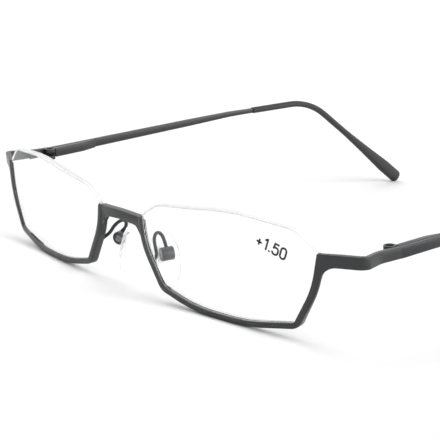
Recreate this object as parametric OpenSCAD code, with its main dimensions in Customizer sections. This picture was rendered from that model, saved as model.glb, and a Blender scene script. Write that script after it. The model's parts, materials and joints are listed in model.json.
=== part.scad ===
// Half-frame reading glasses: metal under-rims, clear lenses with a bare top edge, spring hinges
// Millimetres, +Z up, +Y towards the ears, +X the wearer's left. The glasses stand open on the floor
// on both rims and both temple tips, and the origin is the middle of the footprint of the whole object.

/* [Lens outline] */
// Width of a lens between its two top corners
lens_w = 50.4; // [47:0.2:55]
// Width of a lens between its two lower corners
lens_low_w = 37.8; // [34:0.2:42]
// Width between the two shoulders of the lens's bare top edge
lens_shoulder_w = 39.8; // [36:0.2:44]
// Height of the top corners above the lens centre
corner_up = 7.3; // [6:0.1:8.5]
// How far the rim's nasal end and the bridge lie below the rim's temple end
nose_drop = 0.5; // [0:0.05:1]
// Depth of the lower nasal corner below the lens centre
nose_corner_down = 7.7; // [7:0.1:9]
// Depth of the lower temple corner below the lens centre
temple_corner_down = 8.5; // [8:0.05:9.5]
// Depth of the nasal half of the lower edge, before its rounding
nose_belly_down = 10.1; // [9.5:0.05:11.5]
// How far that point lies towards the nose
nose_belly_in = 8.4; // [6:0.1:11]
// Depth of the lowest point of the outline, before its rounding
belly_down = 10.4; // [10:0.05:12.5]
// How far the lowest point lies towards the temple
belly_out = 6.2; // [3:0.1:9]
// Height of the nasal shoulder of the top edge
nose_shoulder_up = 10.7; // [9.5:0.1:12]
// Height of the temple shoulder of the top edge
temple_shoulder_up = 11.6; // [10.4:0.1:12.6]
// Height of the crown of the top edge
crown_up = 13.3; // [12.4:0.1:15]
// How far the crown lies towards the temple
crown_out = 3.3; // [0:0.1:6]
// Outward bow of the nasal edge
nose_bow = 1.75; // [0.8:0.05:2.4]
// Outward bow of the temple edge
temple_bow = 1.35; // [0.8:0.05:2.4]

/* [Lens] */
// Radius of the front curve of lens and rim
front_radius = 142; // [120:1:180]
// Radius of the back curve of the lens
back_radius = 247; // [200:1:400]
// Thickness of the lens at its centre
lens_t = 2.1; // [1.9:0.05:2.6]
// How far the lens lies behind the rim's front face
lens_inset = 0.45; // [0.35:0.05:0.6]
// Height of the bevel on the lens edge that sits in the rim's groove
bevel_h = 0.42; // [0.3:0.02:0.6]
// Thickness of that bevel
bevel_t = 0.6; // [0.4:0.05:0.8]
// Clearance between lens and rim
lens_gap = 0.03; // [0.02:0.01:0.06]
// Diameter of the nylon cord
cord_d = 0.44; // [0.36:0.02:0.5]

/* [Front] */
// Gap between the two lenses at their top corners
lens_gap_w = 16.6; // [14:0.2:20]
// Angle that each lens turns back towards its temple
wrap = 8.1; // [4:0.1:10]
// Angle that the standing front leans forward at its top
lean = 7.5; // [4:0.5:9]
// Width of the rim strip seen from the front
rim_w = 1.3; // [1.1:0.05:1.6]
// Depth of the rim strip from front to back
rim_depth = 1.9; // [1.85:0.05:2.6]
// Height of the bridge band
bridge_h = 2.15; // [1.7:0.05:3]
// Thickness of the bridge band
bridge_t = 1.6; // [1.2:0.1:2]
// Rise of the bridge band at its middle
bridge_arch = 0.15; // [0:0.05:0.8]
// Height of the flare under each end of the bridge band
flare_h = 3.2; // [2:0.1:4]
// Width of that flare
flare_w = 2.75; // [1.8:0.05:3.4]
// Radius where the underside runs into the flare
bridge_fillet = 1.5; // [0.8:0.1:2]

/* [Endpiece] */
// Width of the front between the outer faces of the two bends
front_w = 136; // [133:0.2:140]
// Width between the outer faces of the temples
temple_span = 131.8; // [130:0.2:134]
// Height of the strip at the front
endpiece_h = 2.7; // [2.3:0.1:3.2]
// Thickness of the strip
strip_t = 1.3; // [1.1:0.05:1.5]
// Outer radius of the bend
bend_r = 2.1; // [1.6:0.1:3]
// How far the bend's corner lies behind the lens centre
bend_back = 10.5; // [9.6:0.1:11]
// Distance from the lens centre back to the hinge screw
hinge_back = 21.2; // [20:0.2:24]
// Height of the hinge centre above the lens centre
hinge_up = 5.0; // [4.6:0.1:5.6]

/* [Spring hinge] */
// Diameter of the hinge knuckles
knuckle_d = 2.6; // [2.3:0.05:2.8]
// Height of the whole hinge barrel
barrel_h = 2.8; // [2.5:0.1:3.2]
// Height of the middle knuckle
eye_h = 0.92; // [0.8:0.02:1.1]
// Gap above and below the middle knuckle
eye_gap = 0.04; // [0.02:0.01:0.08]
// Diameter of the hinge screw
screw_d = 1.2; // [1:0.05:1.3]
// Radial clearance of the screw in the knuckles
screw_gap = 0.03; // [0.02:0.01:0.06]
// Length of the leaf in front of the screw
leaf_l = 4.2; // [3.4:0.1:4.8]
// Thickness of the leaf
leaf_t = 0.4; // [0.3:0.05:0.5]
// Distance from the screw back to the seam between endpiece and temple
seam_back = 1.0; // [0.8:0.05:1.3]
// Gap in that seam
seam_gap = 0.03; // [0.02:0.01:0.08]
// Length of the spring housing
housing_l = 13.4; // [12.6:0.2:16]
// Height of the spring housing
housing_h = 2.3; // [2.1:0.05:2.6]
// Thickness of the spring housing
housing_t = 1.7; // [1.65:0.05:1.9]
// Width and height of the slider's square neck
neck_w = 0.9; // [0.7:0.05:1]
// Length of the neck that stays in the housing at full travel
neck_hold = 0.5; // [0.4:0.05:0.8]
// Diameter of the slider's rod
rod_d = 0.54; // [0.4:0.02:0.6]
// Outer diameter of the spring
spring_d = 1.0; // [0.9:0.02:1.02]
// Diameter of the spring wire
spring_wire = 0.18; // [0.14:0.02:0.2]
// Number of turns of the spring
spring_turns = 9; // [6:1:12]
// Length of the spring at rest
spring_l = 4.6; // [4.2:0.1:5]
// Travel of the spring hinge
slide_travel = 0.9; // [0.6:0.1:1.1]

/* [Temples] */
// Length of a temple from the screw to the middle of its bend
bend_at = 92.5; // [85:0.5:105]
// How far the bend lies below the line of the straight temple
temple_dip = 1.2; // [0.4:0.1:2]
// Distance from the screw to where that dip starts
dip_at = 62; // [50:1:68]
// Length of the drop behind the bend
drop_l = 47.2; // [44:0.2:50]
// Angle that the standing temple rises towards the ear
temple_rise = 5.9; // [4.5:0.1:7]
// Thickness of the flat temple
temple_t = 1.1; // [1:0.05:1.4]
// Height of the temple at the hinge
temple_h = 2.4; // [2:0.1:2.8]
// Height of the temple where it starts to thin
temple_mid_h = 1.85; // [1.5:0.05:2.2]
// Distance from the screw to that place
thin_at = 47; // [36:1:56]
// Height of the temple where the plastic tip starts
temple_low_h = 1.2; // [1:0.05:1.5]
// Distance from the screw to the start of the plastic tip
tip_at = 70.5; // [64:0.5:76]
// Radius of the bend over the ear
ear_radius = 22; // [16:1:28]
// Height of the tip sleeve at its start
tip_h = 1.75; // [1.6:0.05:2.2]
// Width of the tip sleeve at its widest
tip_end_h = 3.7; // [3.2:0.1:5]
// Length of the widest stretch with its rounded end
tip_wide_l = 8; // [8:0.5:14]
// Length over which the sleeve widens
tip_flare_l = 22; // [18:1:30]
// Length of the rounding of its end
tip_round = 1.5; // [1:0.1:3]
// Thickness of the tip sleeve at its start
tip_t = 1.9; // [1.7:0.05:2.2]
// Thickness of the tip sleeve at its end
tip_end_t = 2.8; // [2.2:0.1:3.2]
// Height of the core wire in the sleeve
core_h = 0.8; // [0.6:0.05:0.9]
// Thickness of the core wire in the sleeve
core_t = 0.9; // [0.7:0.05:1]
// How far the core wire stops short of the sleeve's end
core_short = 7; // [5.6:0.2:12]
// Clearance of the core wire in the sleeve
core_gap = 0.02; // [0.02:0.01:0.05]

/* [Nose pads] */
// Diameter of the pad arm wire
arm_d = 0.7; // [0.6:0.05:0.9]
// Distance of the pad screw from the middle of the glasses
pad_side = 9.3; // [8.8:0.1:9.8]
// Distance of the pad screw behind the lens centre
pad_back = 5.25; // [4.8:0.05:5.6]
// Depth of the pad screw below the lens centre
pad_down = 2.8; // [2.6:0.1:3.4]
// Angle that the pad opens towards the ear
pad_yaw = 20; // [14:1:26]
// Angle that the pad opens downwards
pad_tilt = 17; // [12:1:22]
// Height of the nose pad
pad_h = 13; // [11:0.2:14]
// Width of the nose pad
pad_w = 7.2; // [6:0.1:8]
// Thickness of the nose pad at its middle
pad_t = 2.0; // [1.8:0.1:2.6]
// Diameter of the pad box
box_d = 3.1; // [2.8:0.05:3.2]
// Length of the pad box
box_l = 2.9; // [2.6:0.1:3.2]
// Diameter of the pad screw
pad_screw_d = 0.9; // [0.8:0.05:1]
// Width of the boss on the pad core
boss_w = 1.2; // [1:0.05:1.4]

/* [Hidden] */

// Finish colours, as the photograph shows them
metal = "#3d3e40";
bright = "#8f9194";
clear = "#dfe8ee";
plastic = "#464846";

// Each side is drawn on +X and the right one is mirrored
left = 1;
right = -1;

// Smoothness of true cylinders and of the large spheres, and the step of a rounded corner in degrees
$fn = 64;
curve_fn = 240;
corner_step = 4;
// A length that clears everything in a cut
far = 60;
// Running clearance of the small sliding pieces of the spring hinge, and of the spring in its chamber
slide_gap = 0.03;
chamber_gap = 0.05;

function unit(v) = v / norm(v);
function left_of(a, b) = let (d = unit([b[0] - a[0], b[1] - a[1]])) [-d[1], d[0]];
function flat(lists) = [for (l = lists) for (p = l) p];

// A path is a list of [x, y, corner radius]. The two ends of an open path have radius 0.
function before(path, i, closed) = closed || i > 0 ? path[(i + len(path) - 1) % len(path)] : undef;
function after(path, i, closed) = closed || i < len(path) - 1 ? path[(i + 1) % len(path)] : undef;

// Path moved to its left by d, with every corner radius following
function moved_corner(p, a, b, d) =
    let (n1 = left_of(a, p), n2 = left_of(p, b))
    let (s = n1[0] * n2[1] - n1[1] * n2[0])
    let (m = (n1 + n2) / (1 + n1 * n2), r = p[2] > 0 ? max(0.02, p[2] - d * sign(s)) : 0)
    [p[0] + d * m[0], p[1] + d * m[1], r];
function moved(path, d, closed = true) = [for (i = [0 : len(path) - 1])
    let (p = path[i], q = before(path, i, closed), s = after(path, i, closed))
    is_undef(q) ? concat([p[0], p[1]] + d * left_of(p, s), [0])
        : is_undef(s) ? concat([p[0], p[1]] + d * left_of(q, p), [0]) : moved_corner(p, q, s, d)];

// Points of a path with its corners rounded
function corner_arc(p, a, b) =
    let (v = [p[0], p[1]], da = unit([a[0], a[1]] - v), db = unit([b[0], b[1]] - v))
    let (half = acos(max(-1, min(1, da * db))) / 2, c = v + unit(da + db) * p[2] / sin(half))
    let (ta = v + da * p[2] / tan(half), tb = v + db * p[2] / tan(half))
    let (a0 = atan2(ta[1] - c[1], ta[0] - c[0]), a1 = atan2(tb[1] - c[1], tb[0] - c[0]))
    let (turn = (a1 - a0 + 540) % 360 - 180, n = max(2, ceil(abs(turn) / corner_step)))
    [for (k = [0 : n]) c + p[2] * [cos(a0 + turn * k / n), sin(a0 + turn * k / n)]];
function rounded(path, closed = true) = flat([for (i = [0 : len(path) - 1])
    let (p = path[i], q = before(path, i, closed), s = after(path, i, closed))
    is_undef(q) || is_undef(s) || p[2] < 0.01 ? [[p[0], p[1]]] : corner_arc(p, q, s)]);

// A strip of even thickness on the left of an open path
function reversed(l) = [for (i = [len(l) - 1 : -1 : 0]) l[i]];
function strip(path, t) = concat(rounded(path, false), reversed(rounded(moved(path, t, false), false)));

// A smooth curve through 3-D points, with n steps between two of them
function curve_point(p, i, t) =
    let (a = p[max(i - 1, 0)], b = p[i], c = p[i + 1], d = p[min(i + 2, len(p) - 1)])
    0.5 * (2 * b + (c - a) * t + (2 * a - 5 * b + 4 * c - d) * t * t + (3 * b - a - 3 * c + d) * t * t * t);
function curve(p, n) = concat([for (i = [0 : len(p) - 2]) for (k = [0 : n - 1]) curve_point(p, i, k / n)],
    [p[len(p) - 1]]);

// A tube of ovals along 3-D points. sizes holds [half width along side, half height], side is never
// along the tube, and power under 1 makes the ovals fuller.
function oval(a, k, n, power) =
    let (c = cos(360 * k / n), s = sin(360 * k / n))
    [a[0] * sign(c) * pow(abs(c), power), a[1] * sign(s) * pow(abs(s), power)];
module tube(points, sizes, side, sides = 10, power = 1) {
    last = len(points) - 1;
    rings = [for (i = [0 : last])
        let (t = unit(points[min(i + 1, last)] - points[max(i - 1, 0)]))
        let (h = unit(cross(t, side)), w = cross(h, t))
        for (k = [0 : sides - 1])
            let (o = oval(sizes[i], k, sides, power)) points[i] + o[0] * w + o[1] * h];
    walls = [for (i = [0 : last - 1]) for (k = [0 : sides - 1])
        let (a = i * sides + k, b = i * sides + (k + 1) % sides)
        for (f = [[a, a + sides, b], [b, a + sides, b + sides]]) f];
    cap = [for (k = [1 : sides - 2]) [0, k, k + 1]];
    end = [for (f = cap) [f[0] + last * sides, f[2] + last * sides, f[1] + last * sides]];
    polyhedron(rings, concat(walls, cap, end), convexity = 6);
}

// Lens outline in the lens's own plane, from the nasal top corner down and round
half_w = lens_w / 2;
half_low = lens_low_w / 2;
half_shoulder = lens_shoulder_w / 2;
function knee(share, down, bow) =
    [half_w + (half_low - half_w) * share + bow, corner_up - (corner_up + down) * share];
nose_knee = knee(0.4, nose_corner_down, nose_bow);
temple_knee = knee(0.48, temple_corner_down, temple_bow);
outline = [
    [-half_w, corner_up + 0.3, 0.8],
    [-nose_knee[0], nose_knee[1], 15],
    [-half_low, -nose_corner_down, 2.2],
    [-nose_belly_in, -nose_belly_down, 45],
    [belly_out, -belly_down, 45],
    [half_low, -temple_corner_down, 1.9],
    [temple_knee[0], temple_knee[1], 20],
    [half_w, corner_up, 0.5],
    [half_shoulder, temple_shoulder_up, 7],
    [crown_out, crown_up, 60],
    [-half_shoulder, nose_shoulder_up, 8]];

// The front leans as a whole, each lens turns back in it, and the lowest rim edge stands on the floor
function front_sag(u, w) = front_radius - sqrt(front_radius * front_radius - u * u - w * w);
function depth_at(u, w) = u * sin(wrap) + front_sag(u, w) * cos(wrap);
rim_edge = rounded(moved(outline, -rim_w));
lens_z = -min([for (p = rim_edge) p[1] * cos(lean) + depth_at(p[0], p[1]) * sin(lean)]);
lens_x = lens_gap_w / 2 + half_w * cos(wrap) + front_sag(half_w, corner_up) * sin(wrap);

// Hinge centre on the standing object, before the origin is set
pivot_x = temple_span / 2 - strip_t - knuckle_d / 2;
hinge_y = hinge_back * cos(lean) - hinge_up * sin(lean);
hinge_z = lens_z + hinge_back * sin(lean) + hinge_up * cos(lean);

// The drop is as steep as it takes for the lowest point of the tip's oval end to stand on the floor
bend_y = hinge_y + bend_at * cos(temple_rise) + temple_dip * sin(temple_rise);
bend_z = hinge_z + bend_at * sin(temple_rise) - temple_dip * cos(temple_rise);
function oval_reach(a) = norm([tip_round * cos(a), tip_end_h / 2 * sin(a)]);
function end_height(slope) = oval_reach(90 - slope) - tip_round * sin(slope);
first_slope = asin(bend_z / drop_l);
drop_slope = asin((bend_z - end_height(first_slope)) / drop_l);
tip_back = bend_y + (drop_l - tip_round) * cos(drop_slope) + oval_reach(drop_slope);

// Half the length from the bridge's front face to the tips' ends sets the origin
nose_up = corner_up - nose_drop;
bridge_y = depth_at(-half_w - rim_w, nose_up);
front_y = bridge_y * cos(lean) - (nose_up + bridge_arch) * sin(lean);
mid_y = (front_y + tip_back) / 2;

module on_side(side) {
    mirror([side < 0 ? 1 : 0, 0, 0]) translate([0, -mid_y, 0]) children();
}
// Frame of the leaning front, with its origin between the lens centres
module in_front() {
    translate([0, 0, lens_z]) rotate([lean, 0, 0]) children();
}
// Frame of one lens: X across, Z up, Y back from the rim's front face
module in_lens() {
    in_front() translate([lens_x, 0, 0]) rotate([0, 0, wrap]) children();
}
// Frame of one hinge: X outwards, Y along the temple, Z along the screw
module in_hinge() {
    translate([pivot_x, hinge_y, hinge_z]) rotate([temple_rise, 0, 0]) children();
}
// Frame of one pad: X away from the nose, Y along the pad screw, Z up the pad
module in_pad() {
    in_front() translate([pad_side, pad_back, -pad_down]) rotate([0, 0, -pad_yaw]) rotate([0, -pad_tilt, 0])
        children();
}

// Solid prism of a flat outline in the lens plane, through the whole depth
module through(points) {
    rotate([90, 0, 0]) linear_extrude(far, center = true) polygon(points);
}
// Space between two copies of the front curve, from depth y0 to y1 behind the rim's front face
module shell(y0, y1) {
    difference() {
        translate([0, front_radius + y0, 0]) sphere(front_radius, $fn = curve_fn);
        translate([0, front_radius + y1, 0]) sphere(front_radius, $fn = curve_fn);
    }
}
module below(height) {
    translate([-far, -far, height - 2 * far]) cube(2 * far);
}
module above(height) {
    translate([-far, -far, height]) cube(2 * far);
}
// The bevel lies this far behind the lens's front face, and ends below the top corners
bevel_at = lens_inset + 0.3;
bevel_top = corner_up - 1;
// The cord's groove is in line with the bevel, and starts just above it
cord_at = bevel_at + bevel_t / 2;
groove_low = corner_up - 0.6;
groove_in = cord_d + 2 * lens_gap;
// How far the cord reaches down into the hole at each end of the rim
cord_in = 1.2;
cord_side = half_w + rim_w / 2;
function cord_depth(u, w) = cord_at + front_sag(u, max(w, corner_up));

module rim_prism() {
    through(rounded(moved(outline, -rim_w)));
}
module rim(side) {
    color(metal) on_side(side) in_lens() difference() {
        intersection() {
            difference() {
                rim_prism();
                through(rounded(outline));
            }
            shell(0, rim_depth);
            union() {
                below(nose_up);
                translate([far, 0, 0]) below(corner_up);
            }
        }
        intersection() {
            through(rounded(moved(outline, -bevel_h - lens_gap)));
            shell(bevel_at - lens_gap, bevel_at + bevel_t + lens_gap);
        }
        for (u = [-cord_side, cord_side]) translate([u, cord_depth(u, corner_up), corner_up - cord_in])
            cylinder(d = cord_d + 4 * lens_gap, h = 2 * cord_in);
    }
}

module lens(side) {
    color(clear, 0.35) on_side(side) in_lens() difference() {
        union() {
            intersection() {
                through(rounded(moved(outline, lens_gap)));
                difference() {
                    translate([0, front_radius + lens_inset, 0]) sphere(front_radius, $fn = curve_fn);
                    translate([0, back_radius + lens_inset + lens_t, 0])
                        sphere(back_radius, $fn = curve_fn);
                }
            }
            intersection() {
                through(rounded(moved(outline, -bevel_h)));
                shell(bevel_at, bevel_at + bevel_t);
                below(bevel_top);
            }
        }
        intersection() {
            difference() {
                through(rounded(moved(outline, -1)));
                through(rounded(moved(outline, groove_in)));
            }
            shell(cord_at - cord_d / 2 - lens_gap, cord_at + cord_d / 2 + lens_gap);
            above(groove_low);
        }
    }
}

// Nylon cord: out of a hole in each end of the rim, over the lens's corner and along the bare edge's
// groove. Its rings are close enough to follow the curve of the lens.
cord_ring_gap = 2.2;
function split_run(a, b) = let (n = ceil(norm(b - a) / cord_ring_gap))
    [for (k = [0 : n - 1]) a + (b - a) * k / n];
function split(l) = concat([for (i = [0 : len(l) - 2]) for (p = split_run(l[i], l[i + 1])) p],
    [l[len(l) - 1]]);
top_path = [for (i = [6 : len(outline)]) outline[i % len(outline)]];
top_edge = rounded(moved(top_path, cord_d / 2 + lens_gap, false), false);
function cord_end(side) = [
    [side * cord_side, corner_up - cord_in + 0.1],
    [side * cord_side, corner_up - cord_in / 2],
    [side * (cord_side - 0.08), corner_up - 0.15],
    [side * half_w, corner_up + 0.04]];
cord_route = split(concat(cord_end(1), [for (p = top_edge) if (p[1] > corner_up + 0.16) p],
    reversed(cord_end(-1))));
module lens_cord(side) {
    points = [for (p = cord_route) [p[0], cord_depth(p[0], p[1]), p[1]]];
    color(clear, 0.5) on_side(side) in_lens()
        tube(points, [for (p = points) [cord_d / 2, cord_d / 2]], [0, 1, 0], 8);
}

// The bridge band, cut to the outer walls of both rims, with a flare under each end
bridge_end = lens_x - half_w * cos(wrap) + 0.6;
bridge_low = nose_up - bridge_h - 0.2;
bridge_path = [
    [0, nose_up + bridge_arch, 60],
    [-bridge_end, nose_up, 0],
    [-bridge_end, bridge_low - flare_h, 0],
    [-bridge_end + flare_w + 0.6, bridge_low, bridge_fillet],
    [0, nose_up + bridge_arch - bridge_h, 20],
    [bridge_end - flare_w - 0.6, bridge_low, bridge_fillet],
    [bridge_end, bridge_low - flare_h, 0],
    [bridge_end, nose_up, 0]];
module bridge() {
    color(metal) on_side(left) difference() {
        in_front() translate([0, bridge_y + bridge_t / 2, 0]) rotate([90, 0, 0])
            linear_extrude(bridge_t, center = true) polygon(rounded(bridge_path));
        in_lens() rim_prism();
        mirror([1, 0, 0]) in_lens() rim_prism();
    }
}

// Endpiece: a strip that follows the front, bends back and runs to the seam
function front_point(u, w) = [lens_x + u * cos(wrap) - front_sag(u, w) * sin(wrap), depth_at(u, w)];
rim_out = front_point(half_w + rim_w, corner_up);
strip_path = [
    concat(rim_out + 0.3 * (rim_out - [front_w / 2, bend_back]), [0]),
    [front_w / 2, bend_back, bend_r],
    [temple_span / 2, hinge_back - leaf_l - 0.5, 8],
    [temple_span / 2, hinge_back + 4, 0]];
arm_low = hinge_up - temple_h / 2 - sin(temple_rise - lean) * seam_back;
strip_side = [
    [-far, corner_up - endpiece_h],
    [bend_back, corner_up - endpiece_h],
    [hinge_back, arm_low],
    [hinge_back + 4, arm_low],
    [hinge_back + 4, arm_low + temple_h],
    [hinge_back, arm_low + temple_h],
    [bend_back, corner_up],
    [-far, corner_up]];
// Fillet between the underside of the strip and the rim's slanting wall, seen from the front
strip_low = corner_up - endpiece_h;
rim_slant = (half_w - temple_knee[0]) / (corner_up - temple_knee[1]);
rim_at_low = rim_out[0] - rim_slant * endpiece_h;
gusset_r = 6;
gusset_down = 4.2;
gusset_out = 4.3;
gusset_in = rim_at_low - rim_slant * gusset_down;
gusset = [
    [gusset_in - 1, strip_low + 0.5, 0],
    [gusset_in - 1, strip_low - gusset_down, 0],
    [gusset_in, strip_low - gusset_down, 0],
    [rim_at_low, strip_low, gusset_r],
    [rim_at_low + gusset_out, strip_low, 0],
    [rim_at_low + gusset_out, strip_low + 0.5, 0]];
module endpiece(side) {
    color(metal) on_side(side) difference() {
        in_front() intersection() {
            linear_extrude(far, center = true) polygon(strip(strip_path, strip_t));
            union() {
                rotate([90, 0, 90]) linear_extrude(4 * far) polygon(strip_side);
                rotate([90, 0, 0]) linear_extrude(2 * far, center = true) polygon(rounded(gusset));
            }
        }
        in_lens() rim_prism();
        in_hinge() {
            barrel_and_leaf();
            translate([-far / 2, seam_back, -far / 2]) cube(far);
        }
    }
}

// Front part of the hinge: a leaf and two knuckles
screw_head_d = 1.8;
screw_head_h = 0.4;
// The gap between the knuckles ends where the leaf begins
module knuckle_gap() {
    h = eye_h + 2 * eye_gap;
    translate([-knuckle_d, -knuckle_d / 2 - eye_gap, -h / 2]) cube([2 * knuckle_d, 2 * knuckle_d, h]);
}
module barrel_and_leaf() {
    cylinder(d = knuckle_d, h = barrel_h, center = true);
    translate([knuckle_d / 2 - leaf_t, -leaf_l, -housing_h / 2]) cube([leaf_t, leaf_l - 0.2, housing_h]);
}
module hinge_base(side) {
    color(metal) on_side(side) in_hinge() difference() {
        barrel_and_leaf();
        knuckle_gap();
        cylinder(d = screw_d + 2 * screw_gap, h = 2 * barrel_h, center = true);
        translate([0, 0, barrel_h / 2 - screw_head_h])
            cylinder(d = screw_head_d + 2 * screw_gap, h = barrel_h);
    }
}

// A slotted screw along Z with its head's underside at height z
slot_w = 0.24;
module slotted_screw(d, low, z, head_d, head_h) {
    difference() {
        union() {
            translate([0, 0, low]) cylinder(d = d, h = z - low + head_h / 4);
            translate([0, 0, z]) cylinder(d = head_d, h = head_h);
        }
        translate([-head_d, -slot_w / 2, z + head_h / 2]) cube([2 * head_d, slot_w, head_h]);
    }
}
module hinge_screw(side) {
    seat = barrel_h / 2 - screw_head_h;
    color(bright) on_side(side) in_hinge()
        slotted_screw(screw_d, -barrel_h / 2, seat, screw_head_d, screw_head_h);
}

// Sliding half of the spring hinge. Neck, rod, stop and spring lie on one line beside the screw
slide_x = knuckle_d / 2 - neck_w / 2 - 0.3;
housing_at = knuckle_d / 2 + 0.3;
neck_l = housing_at + slide_travel + neck_hold;
shoulder_at = neck_l + 0.35;
shoulder_l = 0.6;
spring_at = shoulder_at + shoulder_l;
stop_l = 0.6;
rod_end = spring_at + spring_l + stop_l + 0.15;
module hinge_slider(side) {
    color(bright) on_side(side) in_hinge() difference() {
        union() {
            cylinder(d = knuckle_d, h = eye_h, center = true);
            translate([slide_x - neck_w / 2, 0, -neck_w / 2]) cube([neck_w, neck_l, neck_w]);
            translate([slide_x, neck_l / 2, 0]) rotate([-90, 0, 0])
                cylinder(d = rod_d, h = rod_end - neck_l / 2);
        }
        cylinder(d = screw_d + 2 * screw_gap, h = 2 * eye_h, center = true);
    }
}
module spring_stop(side) {
    color(bright) on_side(side) in_hinge() translate([slide_x, spring_at + spring_l, 0]) rotate([-90, 0, 0])
        difference() {
            cylinder(d = spring_d, h = stop_l);
            translate([0, 0, -stop_l]) cylinder(d = rod_d, h = 3 * stop_l);
        }
}
module hinge_spring(side) {
    steps = 9;
    turn_r = (spring_d - spring_wire) / 2 - 0.02;
    run = spring_l - spring_wire - 2 * slide_gap;
    first = spring_at + slide_gap + spring_wire / 2;
    points = [for (k = [0 : spring_turns * steps])
        let (a = 360 * k / steps, s = k / (spring_turns * steps))
        [slide_x + turn_r * cos(a), first + run * s, turn_r * sin(a)]];
    color(bright) on_side(side) in_hinge()
        tube(points, [for (p = points) [spring_wire / 2, spring_wire / 2]], [0, 1, 0], 6);
}
module spring_housing(side) {
    outer = knuckle_d / 2 + strip_t - temple_t;
    inner = outer - housing_t;
    rear = housing_at + housing_l;
    plan = [[inner, housing_at, 0.3], [outer, housing_at, 0], [outer, rear, 0], [outer - 0.5, rear, 0.2],
        [inner, housing_at + housing_l * 0.66, 6]];
    color(metal) on_side(side) in_hinge() difference() {
        linear_extrude(housing_h, center = true) polygon(rounded(plan));
        translate([slide_x - neck_w / 2 - slide_gap, 0, -neck_w / 2 - slide_gap])
            cube([neck_w + 2 * slide_gap, shoulder_at, neck_w + 2 * slide_gap]);
        translate([slide_x, 0, 0]) rotate([-90, 0, 0])
            cylinder(d = rod_d + 2 * slide_gap, h = spring_at + 0.1);
        translate([slide_x, spring_at, 0]) rotate([-90, 0, 0])
            cylinder(d = spring_d + 2 * chamber_gap, h = rod_end - spring_at + 0.3);
    }
}

// Temple and tip follow one line in the hinge's frame: along Y, then down past the ear
temple_mid_x = knuckle_d / 2 + strip_t - temple_t / 2;
drop_angle = drop_slope + temple_rise;
function on_drop(l) = [bend_at + l * cos(drop_angle), -temple_dip - l * sin(drop_angle)];
function temple_line(y0, l) = [
    [y0, 0, 0],
    [dip_at, 0, 200],
    [bend_at, -temple_dip, ear_radius],
    concat(on_drop(l), [0])];
line_from = dip_at - 12;
dip_slope = temple_dip / (bend_at - dip_at);
function dip_z(y) = -dip_slope * max(0, y - dip_at);
// The flat wire inside the sleeve, with room round it when it is cut out of the sleeve
module core(gap) {
    line = moved(temple_line(line_from, drop_l - core_short + gap), -core_h / 2 - gap, false);
    linear_extrude(core_t + 2 * gap, center = true) difference() {
        polygon(strip(line, core_h + 2 * gap));
        translate([0, -far]) square([tip_at - 1, 2 * far]);
    }
}
module temple(side) {
    start = seam_back + seam_gap;
    end = tip_at - core_gap;
    low = dip_z(end);
    tilt = dip_slope * temple_low_h / 2;
    bar = [
        [start, -temple_h / 2],
        [thin_at, -temple_mid_h / 2],
        [end - tilt, low - temple_low_h / 2],
        [end + tilt, low + temple_low_h / 2],
        [thin_at, temple_mid_h / 2],
        [start, temple_h / 2]];
    color(metal) on_side(side) in_hinge() translate([temple_mid_x, 0, 0]) rotate([90, 0, 90]) {
        linear_extrude(temple_t, center = true) polygon(bar);
        core(0);
    }
}

// Sleeve: rings along the line, close together where its end is rounded
function run_at(l, s, i = 0) = let (d = norm(l[i + 1] - l[i]))
    s <= d || i == len(l) - 2 ? l[i] + (l[i + 1] - l[i]) * s / d : run_at(l, s - d, i + 1);
function run_length(l, i = 0) = i > len(l) - 2 ? 0 : norm(l[i + 1] - l[i]) + run_length(l, i + 1);
module temple_tip(side) {
    whole = rounded(temple_line(line_from, drop_l), false);
    total = run_length(whole);
    start = tip_at - line_from;
    straight_l = total - start - tip_round;
    steps = ceil(straight_l / 2.4);
    stations = concat([for (k = [0 : steps]) start + straight_l * k / steps],
        [for (a = [15 : 15 : 75]) total - tip_round * (1 - sin(a))], [total - tip_round * (1 - sin(86))]);
    widen = [for (s = stations)
        pow(min(1, max(0, 1 - (total - tip_wide_l - s) / tip_flare_l)), 1.4)];
    end_round = [for (s = stations)
        sqrt(1 - pow(max(0, 1 - (total - s) / tip_round), 2))];
    sizes = [for (i = [0 : len(stations) - 1])
        0.5 * end_round[i] * ([tip_t, tip_h] * (1 - widen[i]) + [tip_end_t, tip_end_h] * widen[i])];
    points = [for (s = stations) let (p = run_at(whole, s)) [0, p[0], p[1]]];
    color(plastic) on_side(side) in_hinge() translate([temple_mid_x, 0, 0]) difference() {
        tube(points, sizes, [1, 0, 0], 20, 0.75);
        rotate([90, 0, 90]) core(core_gap);
    }
}

// Goose-neck of the pad arm, in the frame of the front: brazed behind the rim, up, over and down to the box
arm_route = [
    [11.0, 0.2, -2.8],
    [10.3, 1.5, -1.9],
    [9.3, 2.15, -0.9],
    [8.2, 2.75, 0.7],
    [7.45, 3.8, 1.7],
    [7.3, 4.9, 1.7],
    [7.5, 5.6, 0.9],
    [8.1, 5.7, -0.3],
    [8.9, 5.4, -1.2],
    [pad_side + 0.1, pad_back, box_d / 2 - pad_down - 0.4]];
module pad_arm(side) {
    points = curve(arm_route, 3);
    color(metal) on_side(side) difference() {
        in_front() tube(points, [for (p = points) [arm_d / 2, arm_d / 2]], [0.3, 0.5, 1], 10);
        in_lens() intersection() {
            rim_prism();
            shell(-1, rim_depth);
        }
        in_pad() rotate([90, 0, 0]) cylinder(d = box_d, h = box_l, center = true);
    }
}
boss_r = 0.85;
boss_gap = 0.05;
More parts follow.
